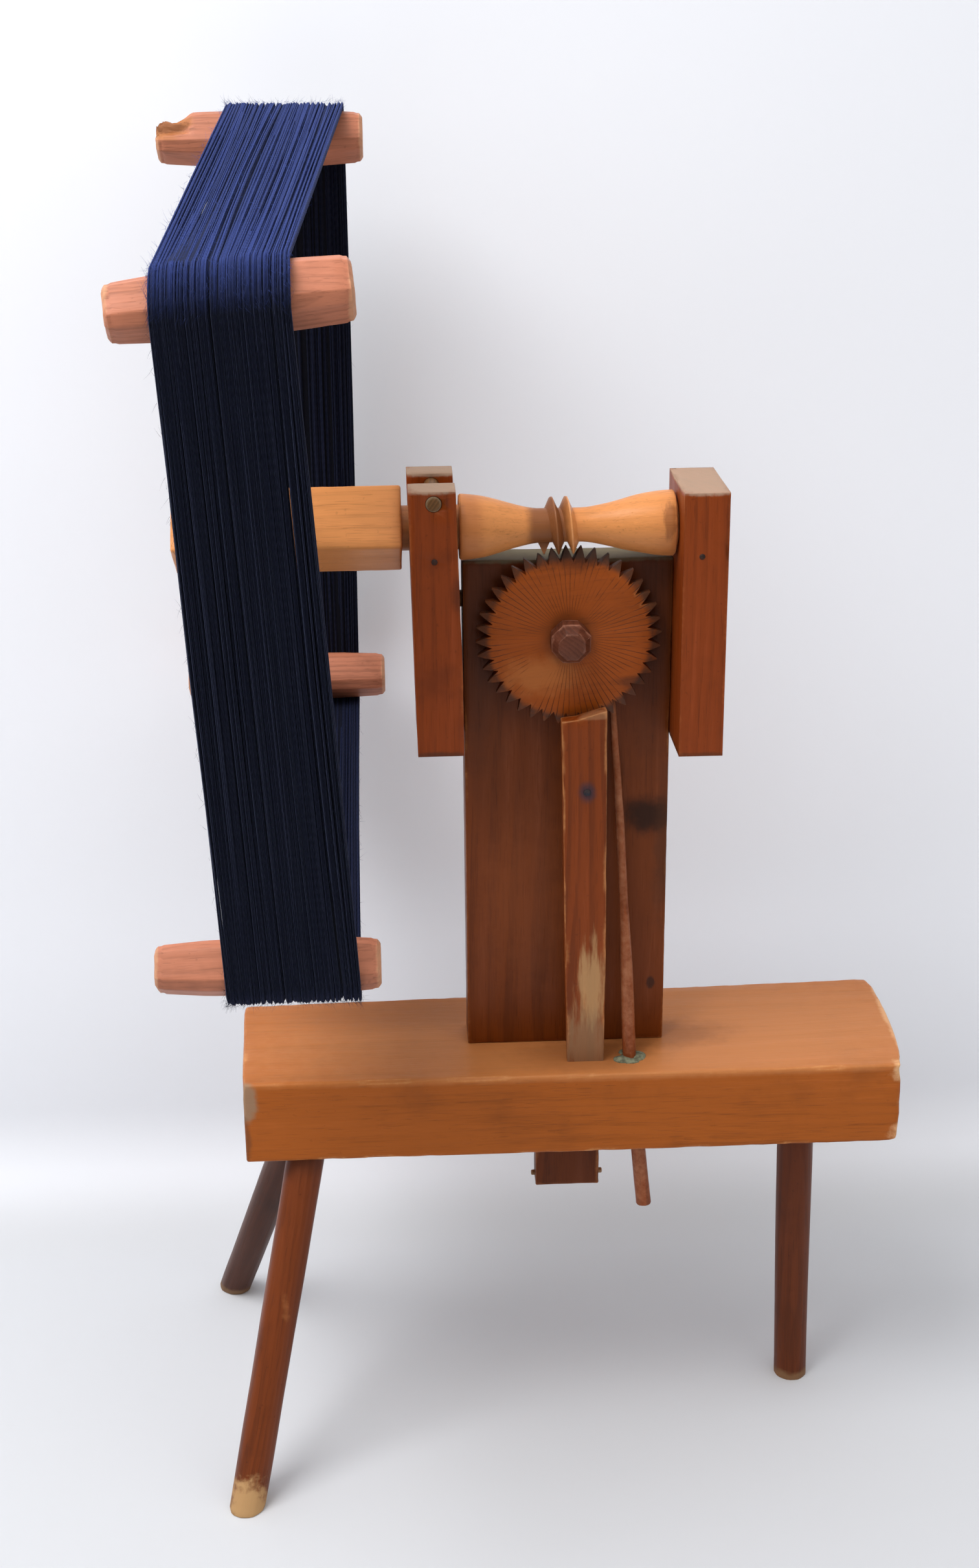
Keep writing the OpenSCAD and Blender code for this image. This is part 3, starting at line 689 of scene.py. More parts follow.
class REEL_OT_stage(bpy.types.Operator):
    """Makes the floor, the wall behind and the soft lights"""
    bl_idname = "clockreel.stage"
    bl_label = "Floor and lights"

    def execute(self, context):
        settings = context.scene.reel_stage
        foot, corner = 0.30, 0.10
        bm = bmesh.new()
        path = [Vector((0, -4.0, 0)), Vector((0, foot - corner, 0))]
        path += [
            Vector((0, foot - corner + corner * math.sin(a), corner - corner * math.cos(a)))
            for a in (math.radians(9 * i) for i in range(1, 11))
        ]
        path.append(Vector((0, foot, 3.2)))
        points = [bm.verts.new(p + Vector((-4, 0, 0))) for p in path]
        edges = [bm.edges.new(pair) for pair in zip(points, points[1:])]
        drawn = bmesh.ops.extrude_edge_only(bm, edges=edges)["geom"]
        bmesh.ops.translate(bm, verts=new_points(drawn), vec=(8, 0, 0))
        bm.normal_update()
        if min(bm.faces, key=lambda f: f.calc_center_median().y).normal.z < 0:
            bmesh.ops.reverse_faces(bm, faces=bm.faces[:])
        mesh = bpy.data.meshes.new("backdrop")
        bm.to_mesh(mesh)
        bm.free()
        mesh.shade_smooth()
        material, tree, shader = new_material("backdrop_paint_and_glow")
        coords = put(tree, "ShaderNodeTexCoord").outputs["Object"]
        height = put(tree, "ShaderNodeSeparateXYZ", Vector=coords).outputs[2]
        cloud = noise_value(tree, coords, 3.0, 3.0)
        tone = mixed(
            tree, ramp(tree, height, 0.0, 0.05), rgba(settings.floor_colour), rgba(settings.wall_colour)
        )
        tone = mixed(tree, times(tree, cloud, 0.07), tone, (0.6, 0.62, 0.66, 1))
        tree.links.new(tone, shader.inputs["Base Color"])
        shader.inputs["Roughness"].default_value = 0.9
        shader.inputs["Specular IOR Level"].default_value = 0.1
        # Painted light: the wall glows faintly from the floor upwards, standing in for a brightly lit wall;
        # the glow also adds light to the reel.
        shader.inputs["Emission Color"].default_value = rgba(settings.wall_colour)
        tree.links.new(ramp(tree, height, 0.0, 0.3, 0.0, 0.1), shader.inputs["Emission Strength"])
        behind = put(tree, "ShaderNodeNewGeometry").outputs["Backfacing"]
        clear = put(tree, "ShaderNodeBsdfTransparent").outputs[0]
        seen = put(tree, "ShaderNodeMixShader", i0=behind, i1=shader.outputs[0], i2=clear).outputs[0]
        tree.links.new(seen, tree.nodes["Material Output"].inputs["Surface"])
        mesh.materials.append(material)
        backdrop = bpy.data.objects.new("backdrop", mesh)
        context.scene.collection.objects.link(backdrop)
        self.light(context, "key", (-1.0, -0.62, 2.4), (-0.05, 0, 0.5), 1.3, settings.key_power)
        self.light(context, "fill", (1.3, -1.9, 1.3), (0, 0, 0.5), 1.2, settings.fill_power)
        world = bpy.data.worlds.new("surround")
        world.use_nodes = True
        tree = world.node_tree
        sky = tree.nodes["Background"]
        way = put(tree, "ShaderNodeTexCoord").outputs["Generated"]
        height = put(tree, "ShaderNodeSeparateXYZ", Vector=way).outputs[2]
        tone = mixed(tree, ramp(tree, height, -0.15, 0.9), (0.06, 0.055, 0.05, 1), (1.0, 0.99, 0.97, 1))
        tree.links.new(tone, sky.inputs["Color"])
        sky.inputs["Strength"].default_value = settings.sky
        context.scene.world = world
        context.scene.view_settings.view_transform = "Standard"
        return {"FINISHED"}

    def light(self, context, name, place, aim, size, power):
        data = bpy.data.lights.new(name, "AREA")
        data.shape = "SQUARE"
        data.size = size
        data.energy = power
        lamp = bpy.data.objects.new(name, data)
        way = Vector(aim) - Vector(place)
        lamp.location = place
        lamp.rotation_euler = way.to_track_quat("-Z", "Y").to_euler()
        context.scene.collection.objects.link(lamp)


class REEL_OT_base(bpy.types.Operator):
    """Makes the base plank, with its worn right end"""
    bl_idname = "clockreel.base"
    bl_label = "Base plank"

    def execute(self, context):
        settings = context.scene.reel_wood
        bm = bmesh.new()
        outline = [at(-241.5, -49, BASE_LOW)]
        for i in range(13):
            t = i / 12
            outline.append(at(246.5 + 5.5 * t + 4 * math.sin(math.pi * t), -49 + 147 * t, BASE_LOW))
        outline.append(at(-247, 81, BASE_LOW))
        slab(bm, outline, Vector((0, 0, (BASE_TOP - BASE_LOW) * MM)))
        round_edges(bm, sharp_edges(bm), settings.edge, 3)
        grid_cuts(bm, (0.008, 0.011, 0.009))
        self.knock_corners(bm)
        roughen(bm, 0.0006, 0.05, chip=0.0011, seed=1, along=0)
        # The pale rubbed edges are partly real wear and partly a painted highlight along the front top edge.
        material = wood(
            "plank_wood", settings.plank, at(0, 20, 277), (1, 0, 0), ring_gap=0.0085, ring_strength=0.1,
            blotch=0.35, gloss=0.42, worn=linear(222, 158, 98), worn_amount=0.42, dirt=0.28, bump=0.4,
            spots=self.patches(),
        )
        add_piece("base_plank", bm, material, "frame", ["base_plank"])
        return {"FINISHED"}

    def knock_corners(self, bm):
        """Wears the corners away, most of all at the right end."""
        knocks = [
            ((251, -49, BASE_TOP), 26, 5.5), ((251, -49, BASE_LOW), 22, 5.0),
            ((-241, -49, BASE_TOP), 14, 1.8),
            ((-241, -49, 290), 9, 1.4), ((257, 98, BASE_TOP), 18, 3.0), ((-247, 81, BASE_TOP), 12, 1.6),
            ((257, 98, BASE_LOW), 16, 2.5), ((252, -49, 282), 14, 2.2),
        ]
        middle = at(0, 20, 277)
        for place, reach, depth in knocks:
            centre = at(*place)
            for v in bm.verts:
                far = (v.co - centre).length / (reach * MM)
                if far < 1:
                    rough = 0.65 + 0.7 * noise.noise(v.co / 0.006)
                    way = (middle - v.co).normalized()
                    way = Vector((way.x * 0.6, way.y, way.z)).normalized()
                    v.co += way * depth * MM * (1 - far) ** 1.5 * rough

    def patches(self):
        grey = linear(150, 128, 104)
        pale = linear(236, 186, 136)
        # shade is the colour of the painted shadows on the plank's top.
        shade = linear(96, 50, 22)
        return [
            # Painted light: the whole top is painted paler, as if lit from above.
            spot((60, 20, 310), (330, 120, 5), linear(214, 146, 92), ragged=0.5, soft=0.6, strength=0.55),
            spot((-240, -49, 296), (8, 9, 16), grey, ragged=1.1, strength=0.75, rough=0.8),
            spot((-242, -45, 262), (5, 9, 20), linear(80, 52, 34), ragged=1.2, strength=0.5),
            spot((252, -47, 303), (11, 13, 9), pale, ragged=1.5, strength=0.85, rough=0.7),
            spot((254, -40, 252), (14, 16, 9), pale, ragged=1.6, strength=0.7, rough=0.7),
            spot((256, 20, 308), (7, 80, 4), pale, ragged=1.2, strength=0.6),
            # Painted shadows: soft darker patches on the top of the plank.
            spot((14, -18, 309), (50, 26, 4), shade, ragged=0.8, soft=0.5, strength=0.35),
            spot((60, 14, 309), (60, 22, 4), shade, ragged=0.9, soft=0.5, strength=0.35),
            spot((-120, 60, 309), (90, 26, 4), shade, ragged=0.9, soft=0.6, strength=0.3),
        ]


class REEL_OT_legs(bpy.types.Operator):
    """Makes the three splayed legs"""
    bl_idname = "clockreel.legs"
    bl_label = "Legs"

    def execute(self, context):
        settings = context.scene.reel_wood
        legs = {
            "leg_front_left": ((-248, -131, 0), (-197, -27.5, BASE_LOW)),
            "leg_back_left": ((-274, 160, 0), (-200.5, 38.5, BASE_LOW)),
            "leg_right": ((185.5, 9, 0), (182.5, 22, BASE_LOW)),
        }
        # Painted light and shade: each leg's colour is scaled by how much light falls on it, the front left
        # leg lightest and the back left leg darkest.
        shades = (1.05, 0.42, 0.85)
        for number, (name, (low, high)) in enumerate(legs.items()):
            foot, neck = at(*low), at(*high)
            length = (neck - foot).length
            bm = bmesh.new()
            profile = [(-0.03, 0), (-0.03, 0.013)]
            steps = 34
            profile += [
                (length * i / steps, 0.013 + 0.0012 * i / steps) for i in range(0, steps + 1)
            ]
            profile += [(length + 0.012, 0.0142), (length + 0.012, 0)]
            spun(bm, profile, 26)
            for v in bm.verts:
                turn = math.atan2(v.co.y, v.co.x)
                facet = math.cos(9 * turn + 2.5 * noise.noise(Vector((number, 0, v.co.z * 6))))
                v.co.x *= 1 - 0.012 * facet
                v.co.y *= 1 - 0.012 * facet
            bmesh.ops.transform(bm, matrix=line_up(foot, neck), verts=bm.verts[:])
            geom = bm.verts[:] + bm.edges[:] + bm.faces[:]
            cut = bmesh.ops.bisect_plane(
                bm, geom=geom, plane_co=(0, 0, 0), plane_no=(0, 0, -1), clear_outer=True
            )["geom_cut"]
            rim = [g for g in cut if isinstance(g, bmesh.types.BMEdge)]
            bmesh.ops.contextual_create(bm, geom=rim)
            close_up(bm)
            round_edges(bm, [e for e in bm.edges if all(abs(v.co.z) < 1e-5 for v in e.verts)], 0.0016, 2)
            roughen(bm, 0.0005, 0.03, chip=0.0003, seed=10 + number, along=2)
            for v in bm.verts:
                v.co.z = max(0, v.co.z)
            spots = [
                # Painted shade: the top of the leg, under the plank, is darker.
                spot((high[0], high[1], BASE_LOW - 4), (40, 40, 10), linear(60, 30, 16), soft=0.8,
                    strength=0.5),
                spot((low[0], low[1], 0), (30, 30, 7), linear(150, 118, 84), ragged=1.0, strength=0.55,
                    rough=0.8),
            ]
            if number == 0:
                spots.append(spot((low[0] + 1, low[1] - 6, 4), (15, 22, 21), linear(192, 152, 104),
                    ragged=1.5, grain=130.0, strength=0.85, rough=0.8))
                spots.append(spot((-216, -78, 118), (4, 10, 30), linear(186, 120, 70), ragged=1.2,
                    strength=0.35))
            material = wood(
                "leg_wood_%d" % (number + 1), tuple(c * shades[number] for c in settings.leg), foot,
                neck - foot,
                ring_gap=0.005,
                ring_strength=0.25, blotch=0.5, gloss=0.4, worn=linear(170, 104, 62), worn_amount=0.45,
                dirt=0.5, spots=spots,
            )
            add_piece(name, bm, material, "frame", [name])
        return {"FINISHED"}


class REEL_OT_post(bpy.types.Operator):
    """Makes the upright post, its tenon below the plank and the peg through it"""
    bl_idname = "clockreel.post"
    bl_label = "Upright post"

    def execute(self, context):
        settings = context.scene.reel_wood
        bm = bmesh.new()
        cube(bm, at(-74, 6, BASE_TOP), at(74, 38, 686))
        round_edges(bm, sharp_edges(bm), settings.edge * 0.6, 2)
        grid_cuts(bm, (0.010, 0.009, 0.010))
        roughen(bm, 0.0004, 0.06, chip=0.0005, seed=2, along=2)
        scorch = linear(34, 22, 16)
        material = wood(
            "post_wood", settings.post, at(0, 22, 500), (0, 0, 1), ring_gap=0.013, ring_strength=0.28,
            blotch=0.55, gloss=0.42, worn=linear(176, 112, 62), worn_amount=0.4, dirt=0.35, turn=0.6,
            spots=[
                spot((60, 6, 492), (17, 8, 13), scorch, ragged=1.3, soft=0.55, strength=0.85, grain=70.0,
                    rough=0.7),
                spot((72, 6, 470), (7, 8, 52), linear(70, 40, 22), ragged=1.2, soft=0.6, strength=0.5),
                spot((64, 6, 357), (3, 4, 5), scorch, ragged=1.4, strength=0.7),
                # Painted shade: the post's front beside each axle support is darker.
                spot((-60, 6, 640), (20, 8, 90), linear(62, 34, 18), soft=0.7, ragged=0.8, strength=0.5),
                spot((62, 6, 640), (16, 8, 90), linear(62, 34, 18), soft=0.7, ragged=0.8, strength=0.45),
                spot((0, 22, 687), (110, 30, 4), linear(112, 110, 88), ragged=0.8, strength=0.8, rough=0.8),
                spot((-28, 6, 430), (30, 8, 60), linear(150, 78, 36), ragged=1.2, soft=0.6, strength=0.3),
            ],
        )
        add_piece("upright_post", bm, material, "frame", ["upright_post"])
        bm = bmesh.new()
        cube(bm, at(-22.25, 12, 180), at(27.25, 32, 262))
        round_edges(bm, sharp_edges(bm), 0.0012, 2)
        grid_cuts(bm, (0.009, 0.008, 0.009))
        roughen(bm, 0.0004, 0.03, chip=0.0008, seed=3, along=2)
        material = wood(
            "tenon_wood", tuple(c * 0.75 for c in settings.post), at(0, 22, 220), (0, 0, 1), ring_gap=0.009,
            gloss=0.5, worn=linear(166, 104, 60), worn_amount=0.5, turn=0.6,
        )
        add_piece("post_tenon", bm, material, "frame", ["upright_post"])
        peg = wood("tenon_peg_wood", settings.peg, at(0, 19, 188), (1, 0, 0), ring_gap=0.003)
        bm = bmesh.new()
        spun(bm, [(-0.0278, 0), (-0.0278, 0.0014), (-0.0272, 0.0021), (-0.01, 0.0022), (0.01, 0.0022),
                  (0.0272, 0.0021), (0.0278, 0.0015), (0.0278, 0)], 16, wobble=0.0002)
        bmesh.ops.transform(bm, matrix=line_up(at(2.5, 19, 188), at(3.5, 19, 188)), verts=bm.verts[:])
        add_piece("tenon_peg", bm, peg, "frame", ["tenon_peg"])
        return {"FINISHED"}


class REEL_OT_supports(bpy.types.Operator):
    """Makes the two axle supports, their nails and the keeper pin, and gives the dowels their wood"""
    bl_idname = "clockreel.supports"
    bl_label = "Axle supports"

    def execute(self, context):
        settings = context.scene.reel_wood
        ends = linear(176, 154, 132)
        for name, seed, spots in (
            ("left_support", 4, [
                spot((-94, 0, 747), (26, 60, 3), ends, ragged=0.7, strength=0.75, rough=0.8, grain=260.0),
                spot((-76, -30, 676), (2.5, 8, 4.5), linear(30, 16, 10), ragged=0.9, strength=0.9),
                spot((-77, -42, 676), (6, 10, 12), linear(64, 30, 16), ragged=1.0, soft=0.6, strength=0.55),
                spot((-94, 0, 560), (26, 60, 3), linear(80, 44, 24), ragged=0.7, strength=0.7),
            ]),
            ("right_support", 5, [
                spot((90, 0, 742.5), (26, 60, 3), ends, ragged=0.7, strength=0.7, rough=0.8, grain=260.0),
                spot((90, 0, 555), (26, 60, 3), linear(80, 44, 24), ragged=0.7, strength=0.7),
            ]),
        ):
            bm = copied(name)
            round_edges(bm, sharp_edges(bm, 50), settings.edge * 0.6, 2)
            grid_cuts(bm, (0.009, 0.010, 0.009))
            roughen(bm, 0.00035, 0.04, chip=0.0004, seed=seed, along=2)
            lo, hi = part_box(name)
            material = wood(
                name + "_wood", settings.support, (lo + hi) / 2, (0, 0, 1), ring_gap=0.007,
                ring_strength=0.26, blotch=0.4, gloss=0.4, worn=linear(178, 100, 50), worn_amount=0.35,
                dirt=0.4, turn=0.4 * seed, spots=spots,
            )
            add_piece(name, bm, material, "frame", [name], smooth=35)
        dowel = wood("dowel_wood", settings.peg, at(0, 22, 620), (1, 0, 0), ring_gap=0.004)
        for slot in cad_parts["support_dowels"].material_slots:
            slot.material = dowel
        self.keeper(settings)
        self.nails()
        return {"FINISHED"}

    def keeper(self, settings):
        bm = bmesh.new()
        spun(bm, [(0, 0), (0, 0.0022), (0.0002, 0.0040), (0.0010, 0.0052), (0.003, 0.0054), (0.02, 0.0054),
                  (0.04, 0.0054), (0.06, 0.0053), (0.0755, 0.0052), (0.0778, 0.0046), (0.0778, 0)],
             24, wobble=0.0002, seed=3)
        bmesh.ops.transform(
            bm, matrix=line_up(at(-94.5, -42.9, 738), at(-94.5, 0, 738)), verts=bm.verts[:]
        )
        material = wood(
            "keeper_wood", settings.peg, at(-94.5, 0, 738), (0, 1, 0), ring_gap=0.0022, ring_strength=0.5,
            worn=linear(150, 130, 104), worn_amount=0.5, dirt=0.5,
        )
        add_piece("keeper_pin", bm, material, "keeper", ["keeper_pin"])

    def nails(self):
        bm = bmesh.new()
        for x, deep in ((-94.5, 17.5), (87, 66.5)):
            one = bmesh.new()
            spun(one, [(-0.0009, 0), (-0.0007, 0.0012), (-0.0001, 0.0021), (0.0006, 0.0020), (0.0008, 0.0014),
                       (deep * MM, 0.0011), (deep * MM + 0.0004, 0)], 12, wobble=0.0002, seed=x)
            way = line_up(at(x, -42, 698.3), at(x, 0, 698.3))
            bmesh.ops.transform(one, matrix=way, verts=one.verts[:])
            join_into(bm, one)
        iron = plain_finish("rusty_iron", linear(38, 28, 26), linear(84, 50, 36), 420.0, 0.62, 0.55, 0.5)
        add_piece("support_nails", bm, iron, "frame", ["support_nails"])


class REEL_OT_axle(bpy.types.Operator):
    """Makes the axle: square hub, journals, turned cones and the worm"""
    bl_idname = "clockreel.axle"
    bl_label = "Worm axle"

    def execute(self, context):
        settings = context.scene.reel_wood
        bm = bmesh.new()
        self.turned(bm)
        self.worm(bm)
        self.hub(bm)
        bm.normal_update()
        scratch = linear(120, 66, 36)
        material = wood(
            "axle_wood", settings.axle, at(0, 0, AXLE_H), (1, 0, 0), ring_gap=0.0075, ring_strength=0.13,
            blotch=0.3, gloss=0.33, worn=linear(232, 168, 116), worn_amount=0.35, dirt=0.3, contrast=0.5,
            spots=[
                spot((-15, 0, AXLE_H), (14, 40, 40), linear(122, 72, 42), soft=0.3, ragged=0.3,
                    strength=0.85),
                spot((68, -16, AXLE_H + 6), (5, 14, 12), scratch, ragged=1.6, grain=300.0,
                    stretch=(1, 0.3, 0.3), strength=0.6),
                spot((-70, -10, AXLE_H), (9, 40, 40), linear(170, 98, 56), ragged=1.0, soft=0.5,
                    strength=0.45),
                spot((-112, 0, AXLE_H), (8, 60, 60), linear(150, 86, 48), soft=0.6, ragged=0.8,
                    strength=0.4),
            ],
        )
        add_piece("worm_axle", bm, material, "reel", ["worm_axle", "axle_hub"])
        return {"FINISHED"}

    def turned(self, bm):
        """Journals and cones, turned round the axle."""
        def cone(t):
            return 11.9 + (22.8 - 11.9) * math.sin(math.radians(90 * t)) ** 1.5
        profile = [(-122, 0), (-122, 15.5), (-116, 15.5), (-100, 15.45), (-86, 15.5), (-76.5, 15.5),
                   (-76.4, 21.6), (-75.4, 22.6)]
        profile += [(-22 - 53 * i / 16, cone(i / 16.5)) for i in range(16, -1, -1)]
        profile += [(-13, 11.8), (-4, 11.8), (3, 11.8)]
        profile += [(9 + 62.6 * i / 18, cone(i / 18.4)) for i in range(0, 19)]
        profile += [(72.8, 21.8), (73, 20.6), (73, 15.5), (82.8, 15.45), (83.2, 12.2), (90.8, 12.2),
            (91.2, 15.45),
                    (101.6, 15.4), (103, 14.2), (103, 0)]
        one = bmesh.new()
        spun(one, [(x * MM, r * MM) for x, r in profile], 64)
        for v in one.verts:
            flat = Vector((v.co.x, v.co.y, 0))
            if flat.length > 0.0165 or (flat.length > 0.011 and abs(v.co.z) < 0.07):
                wave = noise.noise(Vector((v.co.x * 22, v.co.y * 22, v.co.z * 60)))
                v.co += flat.normalized() * wave * 0.00045
        bmesh.ops.transform(one, matrix=line_up(at(0, 0, AXLE_H), at(1, 0, AXLE_H)), verts=one.verts[:])
        join_into(bm, one)

    def worm(self, bm):
        """The thread: a pointed ridge swept along a right-handed helix."""
        first, last, step = 250, 1080, 10
        one = bmesh.new()
        ridge = [(-4.6, 10.6), (-2.3, 15.6), (-0.45, 20.0), (0.45, 20.1), (2.3, 15.6), (4.6, 10.6)]
        face = one.faces.new([
            one.verts.new(((WORM_MIDDLE + WORM_PITCH * (first - 270) / 360 + x) * MM, r * MM, 0)) for x,
            r in ridge
        ])
        steps = (last - first) // step
        bmesh.ops.rotate(
            one, verts=one.verts[:], cent=(0, 0, 0), matrix=Matrix.Rotation(math.radians(first), 3, "X")
        )
        bmesh.ops.spin(
            one, geom=[face] + face.edges[:] + face.verts[:], cent=(0, 0, 0), axis=(1, 0, 0),
            dvec=(WORM_PITCH * MM * step / 360, 0, 0), angle=math.radians(last - first), steps=steps,
            use_merge=False, use_duplicate=False,
        )
        close_up(one)
        for v in one.verts:
            flat = Vector((0, v.co.y, v.co.z))
            high = max(0, (flat.length - 0.014) / 0.0065)
            chip = noise.noise(v.co / 0.004) * 0.0006 + noise.noise(v.co / 0.011) * 0.0007
            v.co += flat.normalized() * high * (chip - 0.0002)
        bmesh.ops.translate(one, verts=one.verts[:], vec=at(0, 0, AXLE_H))
        join_into(bm, one)

    def hub(self, bm):
        """The square end that holds the spokes."""
        one = bmesh.new()
        cube(one, (-272 * MM, -22.75 * MM, -22.75 * MM), (-116 * MM, 22.75 * MM, 22.75 * MM))
        round_edges(one, sharp_edges(one), 0.0017, 3)
        grid_cuts(one, (0.007, 0.008, 0.008))
        roughen(one, 0.0005, 0.035, chip=0.0005, seed=6, along=0)
        turn = Matrix.Rotation(math.radians(REEL_ANGLE), 4, "X")
        bmesh.ops.transform(one, matrix=Matrix.Translation(at(0, 0, AXLE_H)) @ turn, verts=one.verts[:])
        join_into(bm, one)


def bar_size(share):
    """Half depth and half width of a crossbar, in millimetres, at a share of its half length."""
    s = abs(share)
    if s < 0.55:
        k = s / 0.55
        return 17.5 - 0.7 * k, 16.5 - 0.4 * k
    if s < 0.945:
        k = (s - 0.55) / 0.395
        return 16.8 - 1.8 * k, 16.1 - 1.1 * k
    k = (s - 0.945) / 0.055
    return 15.0 - 3.4 * k * k, 15.0 - 3.4 * k * k


class REEL_OT_spokes(bpy.types.Operator):
    """Makes the four turned spokes"""
    bl_idname = "clockreel.spokes"
    bl_label = "Spokes"

    def execute(self, context):
        settings = context.scene.reel_wood
        for n, side in enumerate(("top", "front", "bottom", "back")):
            bm = bmesh.new()
            profile = [(14, 0), (14, 8), (22.8, 8), (22.8, 9.2), (23.6, 10)]
            profile += [
                (25 + 256 * i / 26, 10.1 - 1.0 * i / 26 + 0.35 * math.sin(i * 0.9)) for i in range(27)
            ]
            profile += [(284.2, 8.8), (285.3, 8.2), (285.4, 7.9), (297, 7.9), (297, 0)]
            spun(bm, [(z * MM, r * MM) for z, r in profile], 24, wobble=0.0004, seed=n)
            bmesh.ops.transform(bm, matrix=reel_place(n), verts=bm.verts[:])
            out = reel_place(n).to_3x3() @ Vector((0, 0, 1))
            material = wood(
                "spoke_wood_" + side, settings.spoke, at(REEL_X, 0, AXLE_H), out, ring_gap=0.005,
                ring_strength=0.28, gloss=0.4, worn=linear(206, 148, 104), worn_amount=0.4, dirt=0.45,
            )
            add_piece("spoke_" + side, bm, material, "reel", ["spoke_" + side])
        return {"FINISHED"}


class REEL_OT_crossbars(bpy.types.Operator):
    """Makes the four crossbars, shaved thinner towards their ends"""
    bl_idname = "clockreel.crossbars"
    bl_label = "Crossbars"

    def execute(self, context):
        settings = context.scene.reel_wood
        lengths = {"top": 148, "front": 138, "bottom": 146, "back": 160}
        for n, (side, length) in enumerate(lengths.items()):
            bm = bmesh.new()
            half = length / 2 * MM
            cube(bm, (-half, -0.0165, -0.0175), (half, 0.0165, 0.0175))
            long_edges = [
                e for e in bm.edges if abs((e.verts[0].co - e.verts[1].co).x) > half
            ]
            round_edges(bm, long_edges, 0.0065, 1)
            cut_along(bm, 0, [half * k for k in (-0.99, -0.97, -0.945, 0.945, 0.97, 0.99)])
            cut_along(bm, 0, [half * k / 12 for k in range(-11, 12)])
            self.shape(bm, half, n)
            long_edges = [
                e for e in sharp_edges(bm, 20)
                if abs((e.verts[0].co - e.verts[1].co).normalized().x) > 0.8
            ]
            round_edges(bm, long_edges, 0.0008, 2)
            cut_along(bm, 1, [k * 0.001 for k in (-10, -5, 0, 5, 10)])
            cut_along(bm, 2, [k * 0.001 for k in (-11, -5.5, 0, 5.5, 11)])
            if side == "top":
                self.break_end(bm, half)
            roughen(bm, 0.0003, 0.022, chip=0.0004, seed=20 + n, along=0)
            if n == 1:
                turn = Matrix.Rotation(FRONT_BAR_TURN, 3, "Z")
                bmesh.ops.rotate(bm, verts=bm.verts[:], cent=(0, 0, 0), matrix=turn)
            bmesh.ops.translate(bm, verts=bm.verts[:], vec=(0, 0, REEL_R * MM))
            bmesh.ops.transform(bm, matrix=reel_place(n), verts=bm.verts[:])
            self.dress(settings, bm, n, side, length)
        return {"FINISHED"}

    def shape(self, bm, half, n):
        """Tapers the bar, with shaving marks that differ from bar to bar."""
        for v in bm.verts:
            share = v.co.x / half
            deep, wide = bar_size(share)
            lean = 1 + (0.05 * share if n == 1 else 0.02 * share)
            hollow = 1 + 0.012 * math.sin(share * 5 + n * 2.1)
            v.co.z *= deep / 17.5 * lean * hollow
            v.co.y *= wide / 16.5 * lean

    def break_end(self, bm, half):
        """Splinters the upper left end, where a piece has split away."""
        near = [f for f in bm.faces if f.calc_center_median().x < -half + 0.03]
        edges = list({e for f in near for e in f.edges})
        bmesh.ops.subdivide_edges(bm, edges=edges, cuts=2, use_grid_fill=True)
        for v in bm.verts:
            from_end = v.co.x + half
            if from_end < 0.026 and v.co.y < 0.004 and v.co.z > -0.004:
                lift = min(1, (0.026 - from_end) / 0.008)
                rag = 0.5 + 0.5 * noise.noise(Vector((v.co.x * 90, v.co.y * 500, v.co.z * 260)))
                rag = lift * (0.0015 + 0.0068 * rag)
                upper = max(0, min(1, (v.co.z + 0.004) / 0.012))
                v.co.z -= rag * upper
                v.co.y += rag * 0.75 * max(0, min(1, (0.004 - v.co.y) / 0.014))
                if from_end < 0.006:
                    v.co.x += 0.004 * max(0, noise.noise(v.co * 420 + Vector((4, 0, 0))))

    def dress(self, settings, bm, n, side, length):
        pale = linear(222, 178, 136)
        place = reel_place(n)
        out = place.to_3x3() @ Vector((0, 0, 1))
        centre = Vector((REEL_X, 0, AXLE_H)) + out * REEL_R
        spots = []
        for way in (-1, 1):
            spots.append(spot((centre.x + way * length / 2, centre.y, centre.z), (3.5, 22, 22), pale,
                ragged=1.0, strength=0.35, rough=0.75, grain=200.0))
        if side == "top":
            spots.append(spot((centre.x - length / 2 + 8, centre.y - 6, centre.z + 12), (17, 18, 12),
                linear(176, 116, 70), ragged=1.0, grain=240.0, stretch=(0.25, 1, 1), strength=0.8,
                rough=0.85))
            spots.append(spot((centre.x - length / 2 + 8, centre.y - 8, centre.z + 9), (16, 12, 5),
                linear(110, 66, 42), ragged=2.2, grain=320.0, stretch=(0.25, 1, 1), strength=0.7))
        material = wood(
            "bar_wood_" + side, settings.bar, at(*centre), (1, 0, 0.04), ring_gap=0.0042,
            ring_strength=0.26, blotch=0.35, gloss=0.45, worn=pale, worn_amount=0.28, dirt=0.35,
            turn=0.9 * n, spots=spots,
        )
        add_piece(
            "crossbar_" + side, bm, material, "reel", ["crossbar_" + side], smooth=24
        )


